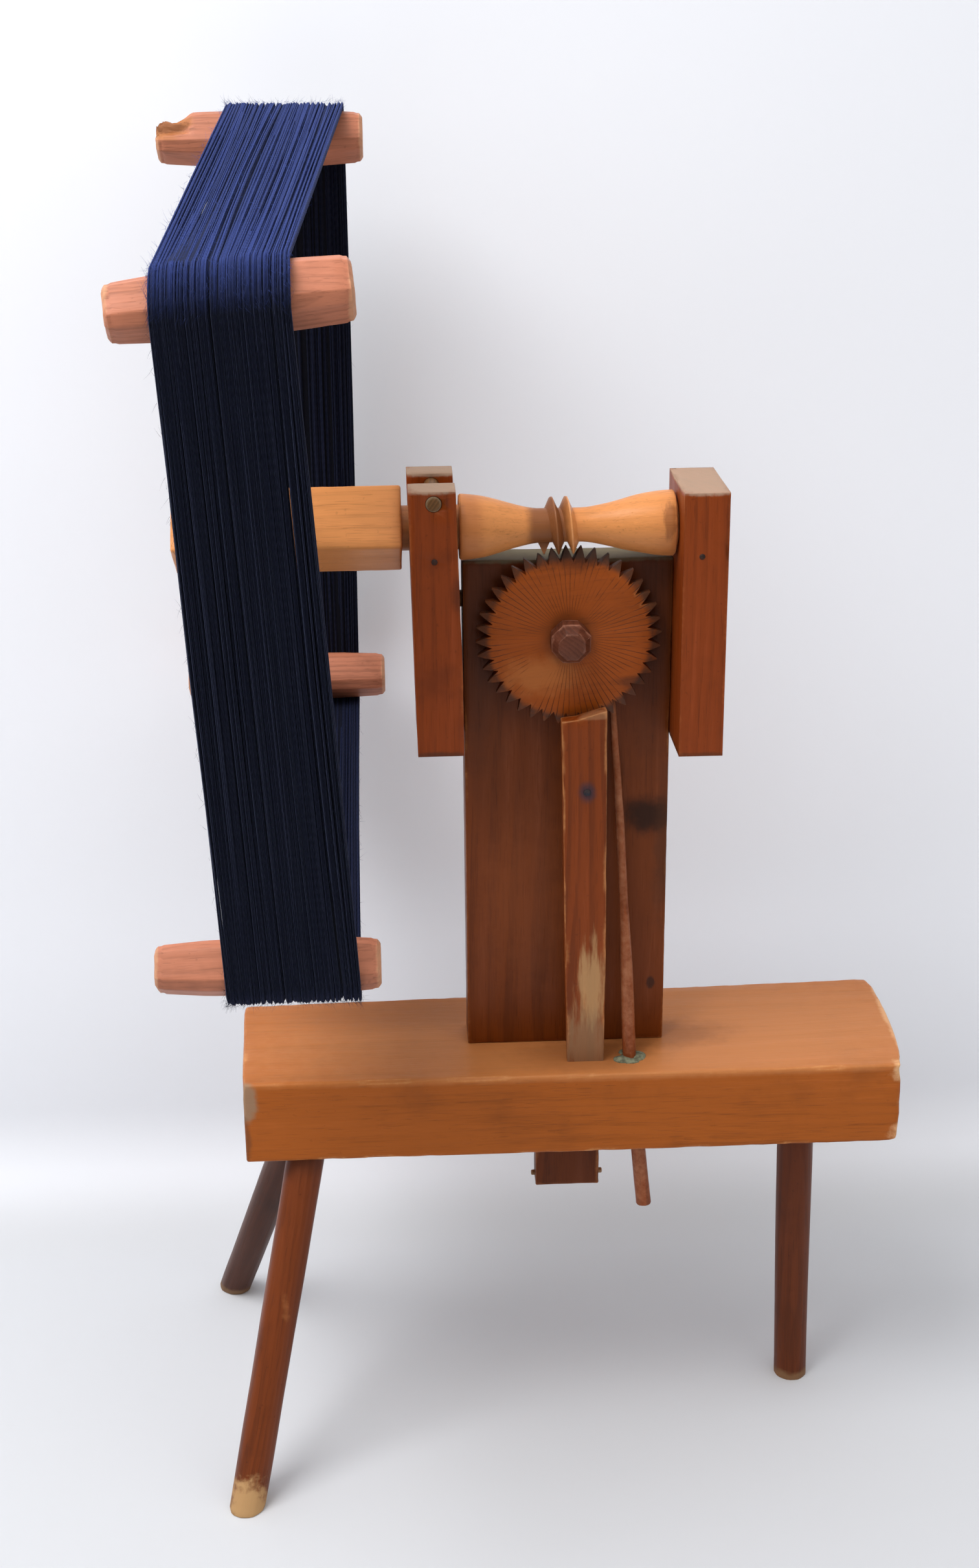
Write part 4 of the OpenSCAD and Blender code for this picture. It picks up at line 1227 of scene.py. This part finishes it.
class REEL_OT_wheel(bpy.types.Operator):
    """Makes the forty-tooth counting wheel and its pin, and gives the washer and the strike peg their finish
    """
    bl_idname = "clockreel.wheel"
    bl_label = "Counting wheel"

    def execute(self, context):
        settings = context.scene.reel_wood
        self.wheel(settings)
        self.pin(settings)
        leather = plain_finish("worn_leather", linear(74, 46, 30), linear(104, 70, 46), 160.0, 0.7, 0.0, 0.4)
        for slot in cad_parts["wheel_washer"].material_slots:
            slot.material = leather
        peg = wood("strike_peg_wood", settings.peg, at(-51, 0, 615), (0, 1, 0), ring_gap=0.002, dirt=0.5)
        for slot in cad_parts["strike_peg"].material_slots:
            slot.material = peg
        return {"FINISHED"}

    def wheel(self, settings):
        part = 2 * math.pi / TEETH
        mesh_r = 64.9
        groove = WORM_MIDDLE + WORM_PITCH * (1.5 - math.degrees(math.asin(4.5 / 20.4)) / 360)
        first = math.pi / 2 - groove / mesh_r
        bm = bmesh.new()
        rings = (9.06, 13, 20, 30, 40, 49, 54.9)
        left = [bm.verts.new((r * math.cos(-part / 2), 0, r * math.sin(-part / 2))) for r in rings]
        middle = [bm.verts.new((r, 0, 0)) for r in rings]
        right = [bm.verts.new((r * math.cos(part / 2), 0, r * math.sin(part / 2))) for r in rings]
        for a, b in ((left, middle), (middle, right)):
            for i in range(len(rings) - 1):
                bm.faces.new((a[i], a[i + 1], b[i + 1], b[i]))
        turn = 0.0055
        tip = [bm.verts.new((65.2 * math.cos(a), 0, 65.2 * math.sin(a))) for a in (-turn, turn)]
        waist = [
            bm.verts.new((60.2 * math.cos(a), 0, 60.2 * math.sin(a))) for a in (
                -0.36 * part / 1.36, 0.36 * part / 1.36
            )
        ]
        bm.faces.new((left[-1], waist[0], middle[-1]))
        bm.faces.new((middle[-1], waist[0], waist[1]))
        bm.faces.new((middle[-1], waist[1], right[-1]))
        bm.faces.new((waist[0], tip[0], tip[1], waist[1]))
        bmesh.ops.spin(
            bm, geom=bm.verts[:] + bm.edges[:] + bm.faces[:], cent=(0, 0, 0), axis=(0, 1, 0), dvec=(0, 0, 0),
            angle=2 * math.pi * (TEETH - 1) / TEETH, steps=TEETH - 1, use_merge=False, use_duplicate=True,
        )
        bmesh.ops.remove_doubles(bm, verts=bm.verts[:], dist=0.02)
        drawn = bmesh.ops.extrude_face_region(bm, geom=bm.faces[:], use_keep_orig=True)["geom"]
        bmesh.ops.translate(bm, verts=new_points(drawn), vec=(0, 11, 0))
        bmesh.ops.recalc_face_normals(bm, faces=bm.faces[:])
        cut_along(bm, 1, [3.5, 7.5])
        rng = random.Random(5)
        nudge = [
            (rng.uniform(-0.5, 0.5), rng.uniform(-0.0042, 0.0042), rng.uniform(0, 1)) for _ in range(TEETH)
        ]
        for v in bm.verts:
            radius = math.hypot(v.co.x, v.co.z)
            if radius > 56:
                angle = math.atan2(v.co.z, v.co.x)
                grow, swing, blunt = nudge[int(round(angle / part)) % TEETH]
                reach = (radius - 55) / 10
                if v.co.y < 1:
                    v.co.y += 3.4 * reach
                elif v.co.y > 10:
                    v.co.y -= 3.4 * reach
                radius += grow * reach - (0.9 * reach if blunt > 0.88 else 0)
                angle += swing * reach
                v.co.x, v.co.z = radius * math.cos(angle), radius * math.sin(angle)
        round_edges(bm, [
            e for e in sharp_edges(bm, 30)
            if math.hypot(e.verts[0].co.x, e.verts[0].co.z) > 50
        ], 0.28, 1)
        bmesh.ops.rotate(bm, verts=bm.verts[:], cent=(0, 0, 0), matrix=Matrix.Rotation(-first, 3, "Y"))
        bmesh.ops.scale(bm, verts=bm.verts[:], vec=(MM, MM, MM))
        bmesh.ops.translate(bm, verts=bm.verts[:], vec=at(0, -10, WHEEL_H))
        roughen(bm, 0.00022, 0.014, chip=0.0002, seed=7)
        soot_and_painted_shadow = linear(38, 24, 18)
        material = wood(
            "wheel_wood", settings.wheel, at(0, -4, WHEEL_H), (1, 0, 0.12), ring_gap=0.009, ring_strength=0.2,
            blotch=0.4, gloss=0.46, worn=linear(214, 150, 92), worn_amount=0.2, dirt=0.3, contrast=0.35,
            spots=[
                # Painted shadow of the worm: the top teeth, under the worm, are painted dark.
                spot((4, -5, 697), (46, 30, 13), soot_and_painted_shadow, ragged=1.0, soft=0.55, strength=0.75, grain=160.0,
                    rough=0.75),
                spot((0, -10, WHEEL_H), (17, 8, 17), linear(84, 48, 28), soft=0.4, ragged=0.5, strength=0.6),
                spot((48, -10, 600), (16, 8, 4), soot_and_painted_shadow, ragged=1.0, strength=0.5, soft=0.5),
                spot((-20, -10, 606), (26, 8, 12), linear(206, 134, 74), ragged=1.5, soft=0.6,
                    strength=0.35),
            ],
        )
        self.scribe(material)
        add_piece("wheel", bm, material, "counting_wheel", ["wheel"], smooth=30)

    def scribe(self, material):
        """Adds the fine marking-out lines that run from the middle to each tooth, and paints the teeth darker
        as painted shade.
        """
        tree = material.node_tree
        shader = tree.nodes["Principled BSDF"]
        coords = put(tree, "ShaderNodeTexCoord").outputs["Object"]
        local = put(tree, "ShaderNodeMapping", Vector=coords, Location=tuple(-at(0, 0, WHEEL_H))).outputs[0]
        parts = put(tree, "ShaderNodeSeparateXYZ", Vector=local).outputs
        angle = maths(tree, "ARCTAN2", parts[2], parts[0])
        ragged = times(tree, minus(tree, noise_value(tree, coords, 70.0, 2.0), 0.5), 0.22)
        turns = plus(tree, times(tree, angle, 80 / (2 * math.pi)), ragged)
        line = ramp(tree, maths(tree, "PINGPONG", turns, 0.5), 0.10, 0.02)
        flat = put(tree, "ShaderNodeCombineXYZ", X=parts[0], Z=parts[2]).outputs[0]
        far = vector_maths(tree, "LENGTH", flat)
        band = times(tree, ramp(tree, far, 0.014, 0.022), ramp(tree, far, 0.066, 0.058))
        faded = ramp(tree, noise_value(tree, coords, 55.0, 3.0), 0.35, 0.6)
        mask = times(tree, times(tree, line, band), faded)
        before = shader.inputs["Base Color"].links[0].from_socket
        tone = mixed(tree, times(tree, mask, 0.85), before, rgba(linear(74, 40, 22)))
        # Painted shade: the teeth, from their roots out, are darker.
        teeth_painted_shade = times(tree, ramp(tree, far, 0.0545, 0.0600), ramp(tree, noise_value(
            tree, coords, 130.0, 3.0), 0.25, 0.55, 0.35, 0.8))
        tone = mixed(tree, teeth_painted_shade, tone, rgba(linear(58, 44, 36)))
        tree.links.new(tone, shader.inputs["Base Color"])
        normal = shader.inputs["Normal"].links[0].from_socket
        groove = put(
            tree, "ShaderNodeBump", {"invert": True}, Strength=0.5, Distance=0.0004, Height=mask,
            Normal=normal
        ).outputs[0]
        tree.links.new(groove, shader.inputs["Normal"])

    def pin(self, settings):
        bm = bmesh.new()
        made = bmesh.ops.create_circle(bm, cap_ends=True, radius=0.0146, segments=8)
        bmesh.ops.rotate(
            bm, verts=made["verts"], cent=(0, 0, 0), matrix=Matrix.Rotation(math.radians(22), 3, "Z")
        )
        face = bm.faces[:][0]
        first = face
        for rise, grow in ((0.0135, 1.02), (0.0085, 0.66)):
            verts, face = draw_out(bm, face, keep=face is first)
            bmesh.ops.translate(bm, verts=verts, vec=(0, 0, rise))
            bmesh.ops.scale(bm, verts=verts, vec=(grow, grow, 1))
        bmesh.ops.recalc_face_normals(bm, faces=bm.faces[:])
        round_edges(bm, sharp_edges(bm, 12), 0.0006, 2)
        grid_cuts(bm, (0.004, 0.004, 0.004))
        roughen(bm, 0.0007, 0.009, seed=11)
        shank = bmesh.new()
        spun(shank, [(-0.0475, 0), (-0.0475, 0.0086), (-0.047, 0.009), (-0.02, 0.009), (0.001, 0.009),
                          (0.001, 0)], 28)
        join_into(bm, shank)
        bmesh.ops.transform(bm, matrix=line_up(at(0, -10.3, WHEEL_H), at(0, -20, WHEEL_H)), verts=bm.verts[:])
        roughen(bm, 0.0002, 0.006, chip=0.0003, seed=8)
        material = wood(
            "pin_wood", settings.pin, at(0, -10, WHEEL_H), (0, -1, 0), ring_gap=0.003, ring_strength=0.3,
            gloss=0.4, worn=linear(172, 118, 96), worn_amount=0.5, dirt=0.5,
        )
        add_piece("wheel_pin", bm, material, "frame", ["wheel_pin"], smooth=28)


class REEL_OT_board(bpy.types.Operator):
    """Makes the sounding board and its nail"""
    bl_idname = "clockreel.board"
    bl_label = "Sounding board"

    def execute(self, context):
        settings = context.scene.reel_wood
        bm = bmesh.new()
        outline = [(-1.4, 301), (25.6, 301), (25.6, 309.5), (26.5, 403), (25.5, 585), (14.7, 581.8),
            (4.2, 578.4),
                   (-7, 577), (-3.6, 403), (-1.4, 309.5)]
        slab(bm, [at(x, -28, z) for x, z in outline], Vector((0, 0.012, 0)))
        round_edges(bm, sharp_edges(bm), 0.0009, 2)
        grid_cuts(bm, (0.006, 0.006, 0.009))
        roughen(bm, 0.0004, 0.03, chip=0.0006, seed=9, along=2)
        self.split(bm)
        pale = linear(188, 146, 100)
        material = wood(
            "board_wood", settings.board, at(10, -22, 440), (0.01, 0, 1), ring_gap=0.0065, ring_strength=0.4,
            blotch=0.5, gloss=0.42, worn=linear(196, 130, 78), worn_amount=0.5, dirt=0.4, turn=0.25,
            spots=[
                spot((10, -28, 582), (26, 10, 3.2), linear(206, 160, 116), ragged=0.8, strength=0.25),
                spot((11.5, -28, 524), (5.5, 5, 6.5), linear(44, 44, 58), ragged=0.9, soft=0.5,
                    strength=0.75),
                spot((15, -28, 372), (9, 6, 30), pale, ragged=2.2, grain=260.0, stretch=(1, 1, 0.13),
                    soft=0.4, strength=0.8, rough=0.75),
                spot((12, -28, 322), (16, 6, 26), linear(152, 120, 88), ragged=1.8, grain=340.0,
                    stretch=(1, 1, 0.16), soft=0.5, strength=0.65, rough=0.8),
            ],
        )
        add_piece("sounding_board", bm, material, "frame", ["sounding_board"])
        bm = bmesh.new()
        spun(bm, [(-0.004, 0), (-0.004, 0.0014), (0, 0.0015), (0.0001, 0.0027), (0.0006, 0.0025),
            (0.0009, 0.0015),
                  (0.0010, 0)], 14, wobble=0.0003, seed=2)
        bmesh.ops.transform(bm, matrix=line_up(at(11.5, -28, 524), at(11.5, -40, 524)), verts=bm.verts[:])
        iron = plain_finish("blue_iron", linear(40, 42, 54), linear(70, 58, 54), 500.0, 0.5, 0.6, 0.5)
        add_piece("board_nail", bm, iron, "frame", ["board_nail"])
        return {"FINISHED"}

    def split(self, bm):
        """Opens the short split at the worn foot."""
        lo, hi = at(10.1, 0, 353), at(10.9, 0, 382)
        cut_along(bm, 0, [lo.x, hi.x])
        cut_along(bm, 2, [lo.z, hi.z])
        bm.faces.ensure_lookup_table()
        inside = []
        for f in bm.faces:
            c = f.calc_center_median()
            if f.normal.y < -0.7 and lo.x < c.x < hi.x and lo.z < c.z < hi.z:
                inside.append(f)
        drawn = bmesh.ops.extrude_face_region(bm, geom=inside)["geom"]
        bmesh.ops.translate(bm, verts=new_points(drawn), vec=(0, 0.003, 0))


class REEL_OT_rod(bpy.types.Operator):
    """Makes the springy click rod and the packing round its foot"""
    bl_idname = "clockreel.rod"
    bl_label = "Click rod"

    def execute(self, context):
        settings = context.scene.reel_wood
        tail, foot, tip = at(57, -35, 190), at(45.5, -24, BASE_TOP), at(32.2, 3.6, 583)
        path = []
        for i in range(13):
            t = i / 12
            path.append((tail.lerp(foot, t), (5.8 - 0.9 * t) * MM))
        for i in range(1, 35):
            t = i / 34
            bow = Vector((1.2 * MM * math.sin(math.pi * t), 0, 0))
            path.append((foot.lerp(tip, t) + bow, (5.1 + (2.1 - 5.1) * t + 0.25 * math.sin(9 * t)) * MM))
        path.append((path[-1][0] + Vector((0, 0, 0.0008)), 1.1 * MM))
        bm = bmesh.new()
        tube(bm, path, 14)
        round_edges(bm, [e for e in sharp_edges(bm, 50) if e.verts[0].co.z < 0.2], 0.001, 2)
        roughen(bm, 0.0005, 0.016, chip=0.0002, seed=12, along=2)
        material = wood(
            "rod_wood", settings.rod, foot, tip - foot, ring_gap=0.0035, ring_strength=0.3, blotch=0.45,
            gloss=0.4, worn=linear(178, 118, 84), worn_amount=0.4, dirt=0.45,
        )
        rod = add_piece(
            "click_rod", bm, material, "click_rod", ["click_rod", "rod_tail"], ride=False
        )
        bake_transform(rod)
        self.packing()
        return {"FINISHED"}

    def packing(self):
        bm = bmesh.new()
        for x, y, wide, deep, high in ((41, -27, 8, 6, 2.6), (51.5, -23, 6.5, 7, 3.0),
            (46, -30.5, 6, 3.6, 1.8),
                                       (45, -16, 7, 4.5, 2.6)):
            place = Matrix.Translation(at(x, y, BASE_TOP)) @ Matrix.Diagonal(
                (wide * MM, deep * MM, high * MM, 1)
            )
            bmesh.ops.create_icosphere(bm, subdivisions=3, radius=1, matrix=place)
        for v in bm.verts:
            v.co += v.normal * noise.noise(v.co / 0.003) * 0.0012
            v.co.z = max(v.co.z, (BASE_TOP - 1) * MM)
        putty = plain_finish(
            "packing_putty", linear(128, 130, 104), linear(86, 84, 66), 260.0, 0.85, 0.0, 0.6
        )
        add_piece("rod_packing", bm, putty, "frame", ["rod_packing"])


# ---------------------------------------------------------------- yarn

SKEIN_LEFT = (-24.0, -43.0, -27.0, -26.0)
SKEIN_RIGHT = (60.0, 34.0, 59.0, 58.0)
BAR_LENGTHS = (148.0, 138.0, 146.0, 160.0)
BEND_POINTS = 5
SPAN_POINTS = 3
# Painted light and shade for the span after each bar, from the top bar round by the front, bottom and back:
# the top-to-front span is painted pale as if lit, the front drop nearly black and the lower and back spans
# dark, as if in shadow.
PAINTED_SPAN_SHADE = (1.25, 0.04, 0.35, 0.12)
RINGS = 4 * (BEND_POINTS + SPAN_POINTS)


def bar_skin(angle, share):
    """How far a bar's surface is from its centre, in millimetres, at an angle from outwards."""
    deep, wide = bar_size(min(0.93, abs(share)))
    corner = (deep + wide - 6.5) / math.sqrt(2)
    best = deep / max(0.2, math.cos(angle))
    for way in (-1, 1):
        best = min(best, corner / max(0.2, math.cos(angle - way * math.pi / 4)))
    return best


def bend_point(n, share_of_bend, across, lift):
    """A point on a turn of yarn where it bends over bar n, from 0 as it arrives to 1 as it leaves."""
    x = SKEIN_LEFT[n] + (SKEIN_RIGHT[n] - SKEIN_LEFT[n]) * across
    start, end = span_angle(n - 1), span_angle(n)
    angle = math.radians(start + (end - start) * share_of_bend)
    out = math.radians(place_angle(n))
    skin = bar_skin(angle - out, x / (BAR_LENGTHS[n] / 2))
    radius = skin + (21.2 - skin) * min(1, lift / 4) * 0.8 + 0.7 + lift
    wander = 0.9 * noise.noise(Vector((across * 9, n * 5.1, 2)))
    slip = x * math.tan(FRONT_BAR_TURN) if n == 1 else 0
    y = REEL_R * math.cos(out) + radius * math.cos(angle) + slip * math.sin(out)
    z = REEL_R * math.sin(out) + radius * math.sin(angle) - slip * math.cos(out)
    return Vector((REEL_X + x + wander, y, z))


def strand_path(across, lift, clump, loose):
    """Points along one turn of yarn: across is 0 at the left edge and 1 at the right."""
    points = []
    for n in range(4):
        points += [bend_point(n, i / (BEND_POINTS - 1), across, lift) for i in range(BEND_POINTS)]
        start, end = points[-1], bend_point((n + 1) % 4, 0, across, lift)
        facing = math.radians(span_angle(n))
        outward = Vector((0, math.cos(facing), math.sin(facing)))
        for i in range(SPAN_POINTS):
            t = (i + 1) / (SPAN_POINTS + 1)
            swell = math.sin(math.pi * t)
            side = clump[n] * swell + 0.6 * swell * noise.noise(Vector((across * 60, n * 3, t * 4)))
            points.append(start.lerp(end, t) + Vector((side, 0, 0)) + outward * loose[n] * swell)
    return points


def span_shades():
    """Painted light and shade at each point of a turn: each span has its own share, and each bend blends from
    the span before to the span after.
    """
    shades = []
    for n in range(4):
        for i in range(BEND_POINTS):
            t = i / (BEND_POINTS - 1)
            shades.append(PAINTED_SPAN_SHADE[n - 1] + (PAINTED_SPAN_SHADE[n] - PAINTED_SPAN_SHADE[n - 1]) * t)
        shades += [PAINTED_SPAN_SHADE[n]] * SPAN_POINTS
    return np.array(shades)


class REEL_OT_yarn(bpy.types.Operator):
    """Winds the yarn: a close core, hundreds of strands and loose fibres"""
    bl_idname = "clockreel.yarn"
    bl_label = "Yarn"

    def execute(self, context):
        settings = context.scene.reel_yarn
        wool = yarn_finish("navy_wool", settings.yarn)
        # Painted shade: the core is darker than the strands, as the shade deep inside the skein.
        core = yarn_finish("wool_core_painted_shade", tuple(c * 0.35 for c in settings.yarn), twist=False)
        self.core(core)
        self.strands(settings, wool)
        self.fibres(settings)
        return {"FINISHED"}

    def template(self, rings, sides):
        """A ring of tube, with each point's place round the ring and round the tube."""
        bm = bmesh.new()
        made = bmesh.ops.create_circle(bm, cap_ends=False, radius=0.1, segments=sides)
        bmesh.ops.rotate(bm, verts=made["verts"], cent=(0, 0, 0), matrix=Matrix.Rotation(math.pi / 2, 3, "X"))
        bmesh.ops.translate(bm, verts=made["verts"], vec=(1, 0, 0))
        bmesh.ops.spin(
            bm, geom=bm.verts[:] + bm.edges[:], cent=(0, 0, 0), axis=(0, 0, 1), dvec=(0, 0, 0),
            angle=2 * math.pi, steps=rings, use_merge=True, use_duplicate=False,
        )
        bmesh.ops.remove_doubles(bm, verts=bm.verts[:], dist=1e-4)
        bmesh.ops.recalc_face_normals(bm, faces=bm.faces[:])
        uv = bm.loops.layers.uv.new("strand")
        for f in bm.faces:
            marks = [self.marks(loop.vert.co) for loop in f.loops]
            for loop, (ring, side) in zip(f.loops, marks):
                if ring < 0.25 and max(m[0] for m in marks) > 0.75:
                    ring += 1
                if side < 0.25 and max(m[1] for m in marks) > 0.7:
                    side += 1
                loop[uv].uv = (ring, side)
        where = [self.marks(v.co) for v in bm.verts]
        mesh = bpy.data.meshes.new("strand_template")
        bm.to_mesh(mesh)
        bm.free()
        return mesh, where

    def marks(self, co):
        ring = (math.atan2(co.y, co.x) / (2 * math.pi)) % 1.0
        side = (math.atan2(co.z, math.hypot(co.x, co.y) - 1) / (2 * math.pi)) % 1.0
        if ring > 0.9999:
            ring = 0.0
        if side > 0.9999:
            side = 0.0
        return ring, side

    def sweep(self, name, template, where, loops, material):
        """Copies the ring of tube for each loop and bends it to that loop's points."""
        rings = len(loops[0]["points"])
        index = np.array([round(w[0] * rings) % rings for w in where])
        angle = np.array([w[1] * 2 * math.pi for w in where])
        bm = bmesh.new()
        for _ in loops:
            bm.from_mesh(template)
        mesh = bpy.data.meshes.new(name)
        bm.to_mesh(mesh)
        bm.free()
        places, shades = [], []
        for loop in loops:
            path = np.array([(p.x + POST_X, p.y, p.z + AXLE_H) for p in loop["points"]]) * MM
            ahead = np.roll(path, -1, 0) - np.roll(path, 1, 0)
            ahead /= np.linalg.norm(ahead, axis=1)[:, None]
            middle = np.array(at(REEL_X, 0, AXLE_H))
            out = path - middle
            out[:, 0] = 0
            out -= ahead * np.sum(out * ahead, axis=1)[:, None]
            out /= np.linalg.norm(out, axis=1)[:, None]
            side = np.cross(ahead, out)
            wide, thick = loop["wide"], loop["thick"]
            if np.isscalar(wide):
                wide = np.full(rings, wide)
            if np.isscalar(thick):
                thick = np.full(rings, thick)
            places.append(
                path[index]
                + side[index] * (np.cos(angle) * wide[index])[:, None]
                + out[index] * (np.sin(angle) * thick[index])[:, None]
            )
            # Each strand's own shade times the painted light and shade of its span.
            shades.append(np.clip(loop["shade"] * span_shades()[index], 0, 1))
        mesh.vertices.foreach_set("co", np.concatenate(places).astype(np.float32).ravel())
        shade = mesh.attributes.new("shade", "FLOAT", "POINT")
        shade.data.foreach_set("value", np.concatenate(shades).astype(np.float32))
        mesh.update()
        bm = bmesh.new()
        bm.from_mesh(mesh)
        bmesh.ops.recalc_face_normals(bm, faces=bm.faces[:])
        bm.to_mesh(mesh)
        bm.free()
        self.finish(name, mesh, material)

    def finish(self, name, mesh, material):
        """Makes the object, and has it ride the reel in place of the plain skein."""
        mesh.shade_smooth()
        mesh.materials.append(material)
        piece = bpy.data.objects.new(name, mesh)
        bpy.context.scene.collection.objects.link(piece)
        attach(piece, "reel")
        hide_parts("skein")

    def core(self, material):
        """The close middle of the skein, narrower than the whole so that light shows past the outer turns,
        and painted dark as the shade inside the skein.
        """
        template, where = self.template(RINGS, 18)
        points = strand_path(0.56, 0.9, (0, 0, 0, 0), (-0.6, -0.6, -0.6, -0.6))
        wide = []
        for n in range(4):
            full = (SKEIN_RIGHT[n] - SKEIN_LEFT[n]) / 2 * MM
            after = (SKEIN_RIGHT[(n + 1) % 4] - SKEIN_LEFT[(n + 1) % 4]) / 2 * MM
            wide += [full * 0.86] * BEND_POINTS
            for i in range(SPAN_POINTS):
                t = (i + 1) / (SPAN_POINTS + 1)
                narrow = 0.86 - (0.52 if n == 1 else 0.22) * math.sin(math.pi * t) ** 0.6
                wide.append((full + (after - full) * t) * narrow)
        loops = [{"points": points, "wide": np.array(wide), "thick": 0.0009, "shade": 0.3}]
        self.sweep("skein_core", template, where, loops, material)
        bpy.data.meshes.remove(template)

    def strands(self, settings, material):
        """Turns of yarn, in layers, bunched here and spread there."""
        template, where = self.template(RINGS, 3)
        rng = random.Random(17)
        loops = []
        for k in range(settings.turns):
            across = (k + rng.random()) / settings.turns
            across = min(1.0, max(0.0, across + rng.gauss(0, 0.012)))
            layer = rng.random() ** 0.8
            lift = 3.6 * layer
            edge = max(0.0, 1 - across * 3.2)
            clump = []
            loose = []
            for n in range(4):
                wave = noise.noise(Vector((across * 17, n * 3.3, 0.4))) * 1.8
                wave += noise.noise(Vector((across * 5, n * 7.7, 1.4))) * 2.0
                if n == 1:
                    wave += edge * 3.5 * noise.noise(Vector((across * 38, 3.0, 5.0)))
                clump.append(wave + rng.gauss(0, 0.35))
                loose.append(rng.uniform(-2.2, 0.3) + 1.2 * noise.noise(Vector((across * 14, n * 9.1, 7))))
            points = strand_path(across, lift, clump, loose)
            thick = settings.thickness / 2 * rng.uniform(0.85, 1.15)
            # Painted shade: strands in deeper layers get a darker shade; random tone from strand to strand is
            # added.
            loops.append({
                "points": points, "wide": thick, "thick": thick,
                "shade": min(1.0, max(0.0, 0.25 + 0.3 * layer + rng.gauss(0, 0.09))),
            })
        self.sweep("skein_strands", template, where, loops, material)
        bpy.data.meshes.remove(template)

    def spike(self):
        """A thin three-sided fibre, one unit long, with points along it to bend."""
        bm = bmesh.new()
        bmesh.ops.create_cone(
            bm, cap_ends=True, segments=3, radius1=1, radius2=0.4, depth=1, matrix=Matrix.Translation(
                (0, 0, 0.5)
            )
        )
        cut_along(bm, 2, (0.25, 0.5, 0.75))
        mesh = bpy.data.meshes.new("fibre_template")
        bm.to_mesh(mesh)
        bm.free()
        return mesh

    def fibres(self, settings):
        """Fine fibres that stand off the yarn, most of them near its edges."""
        rng = random.Random(29)
        material = yarn_finish("loose_wool", tuple(min(1, c * 1.4) for c in settings.yarn), twist=False)
        spike = self.spike()
        unit = np.array([tuple(v.co) for v in spike.vertices])
        tall = unit[:, 2][:, None]
        thin = 0.00009 * (1 - 0.5 * tall)
        tone = span_shades()
        bm = bmesh.new()
        places, shades = [], []
        for _ in range(settings.fibres):
            bm.from_mesh(spike)
            kind = rng.random()
            across = rng.random()
            if kind < 0.4:
                across **= 2.2
            elif kind < 0.75:
                across = 1 - across ** 2.2
            path = strand_path(across, rng.uniform(3.0, 4.5), (0, 0, 0, 0), (0, 0, 0, 0))
            i = rng.randrange(len(path))
            after = path[(i + 1) % len(path)]
            start = path[i].lerp(after, rng.random())
            along = (after - path[i]).normalized()
            out = Vector((0, start.y, start.z)).normalized()
            side = Vector((-1 if across < 0.5 else 1, 0, 0)) * rng.uniform(-0.1, 0.8)
            way = (along * rng.choice((-1, 1)) + out * rng.uniform(0.0, 0.7) + side).normalized()
            curl = Vector([rng.gauss(0, 1) for _ in range(3)]).normalized()
            length = rng.uniform(2.5, 9.0) * MM
            one = way.orthogonal().normalized()
            two = way.cross(one)
            base = at(start.x, start.y, start.z + AXLE_H)
            places.append(
                np.array(base) + np.array(way) * length * tall + np.array(curl) * length * 0.25 * tall ** 2
                + (np.array(one) * unit[:, 0][:, None] + np.array(two) * unit[:, 1][:, None]) * thin
            )
            # Each fibre takes the painted light and shade of the span it stands on.
            shades.append(np.full(len(unit), min(1, 0.75 * tone[i])))
        mesh = bpy.data.meshes.new("skein_fibres")
        bm.to_mesh(mesh)
        bm.free()
        bpy.data.meshes.remove(spike)
        mesh.vertices.foreach_set("co", np.concatenate(places).astype(np.float32).ravel())
        shade = mesh.attributes.new("shade", "FLOAT", "POINT")
        shade.data.foreach_set("value", np.concatenate(shades).astype(np.float32))
        mesh.update()
        self.finish("skein_fibres", mesh, material)


# ---------------------------------------------------------------- panel and running

OPERATORS = (
    REEL_OT_camera, REEL_OT_stage, REEL_OT_base, REEL_OT_legs, REEL_OT_post, REEL_OT_supports,
    REEL_OT_axle, REEL_OT_spokes, REEL_OT_crossbars, REEL_OT_wheel, REEL_OT_board, REEL_OT_rod, REEL_OT_yarn,
)
SETTINGS = (ReelStageSettings, ReelWoodSettings, ReelYarnSettings)


class REEL_PT_build(bpy.types.Panel):
    """Lists the pieces of the clock reel and their settings"""
    bl_idname = "REEL_PT_build"
    bl_label = "Clock Reel"
    bl_space_type = "VIEW_3D"
    bl_region_type = "UI"
    bl_category = "Clock Reel"

    def draw(self, context):
        layout = self.layout
        for operator in OPERATORS:
            layout.operator(operator.bl_idname)
        for name in ("reel_stage", "reel_wood", "reel_yarn"):
            group_of = getattr(context.scene, name)
            box = layout.box()
            for key in group_of.__annotations__:
                box.prop(group_of, key)


def register():
    for one in SETTINGS + OPERATORS + (REEL_PT_build,):
        bpy.utils.register_class(one)
    bpy.types.Scene.reel_stage = bpy.props.PointerProperty(type=ReelStageSettings)
    bpy.types.Scene.reel_wood = bpy.props.PointerProperty(type=ReelWoodSettings)
    bpy.types.Scene.reel_yarn = bpy.props.PointerProperty(type=ReelYarnSettings)


def unregister():
    del bpy.types.Scene.reel_yarn
    del bpy.types.Scene.reel_wood
    del bpy.types.Scene.reel_stage
    for one in reversed(SETTINGS + OPERATORS + (REEL_PT_build,)):
        bpy.utils.unregister_class(one)


def main():
    register()
    for operator in OPERATORS:
        group_name, call = operator.bl_idname.split(".")
        getattr(getattr(bpy.ops, group_name), call)()


if __name__ == "__main__":
    main()
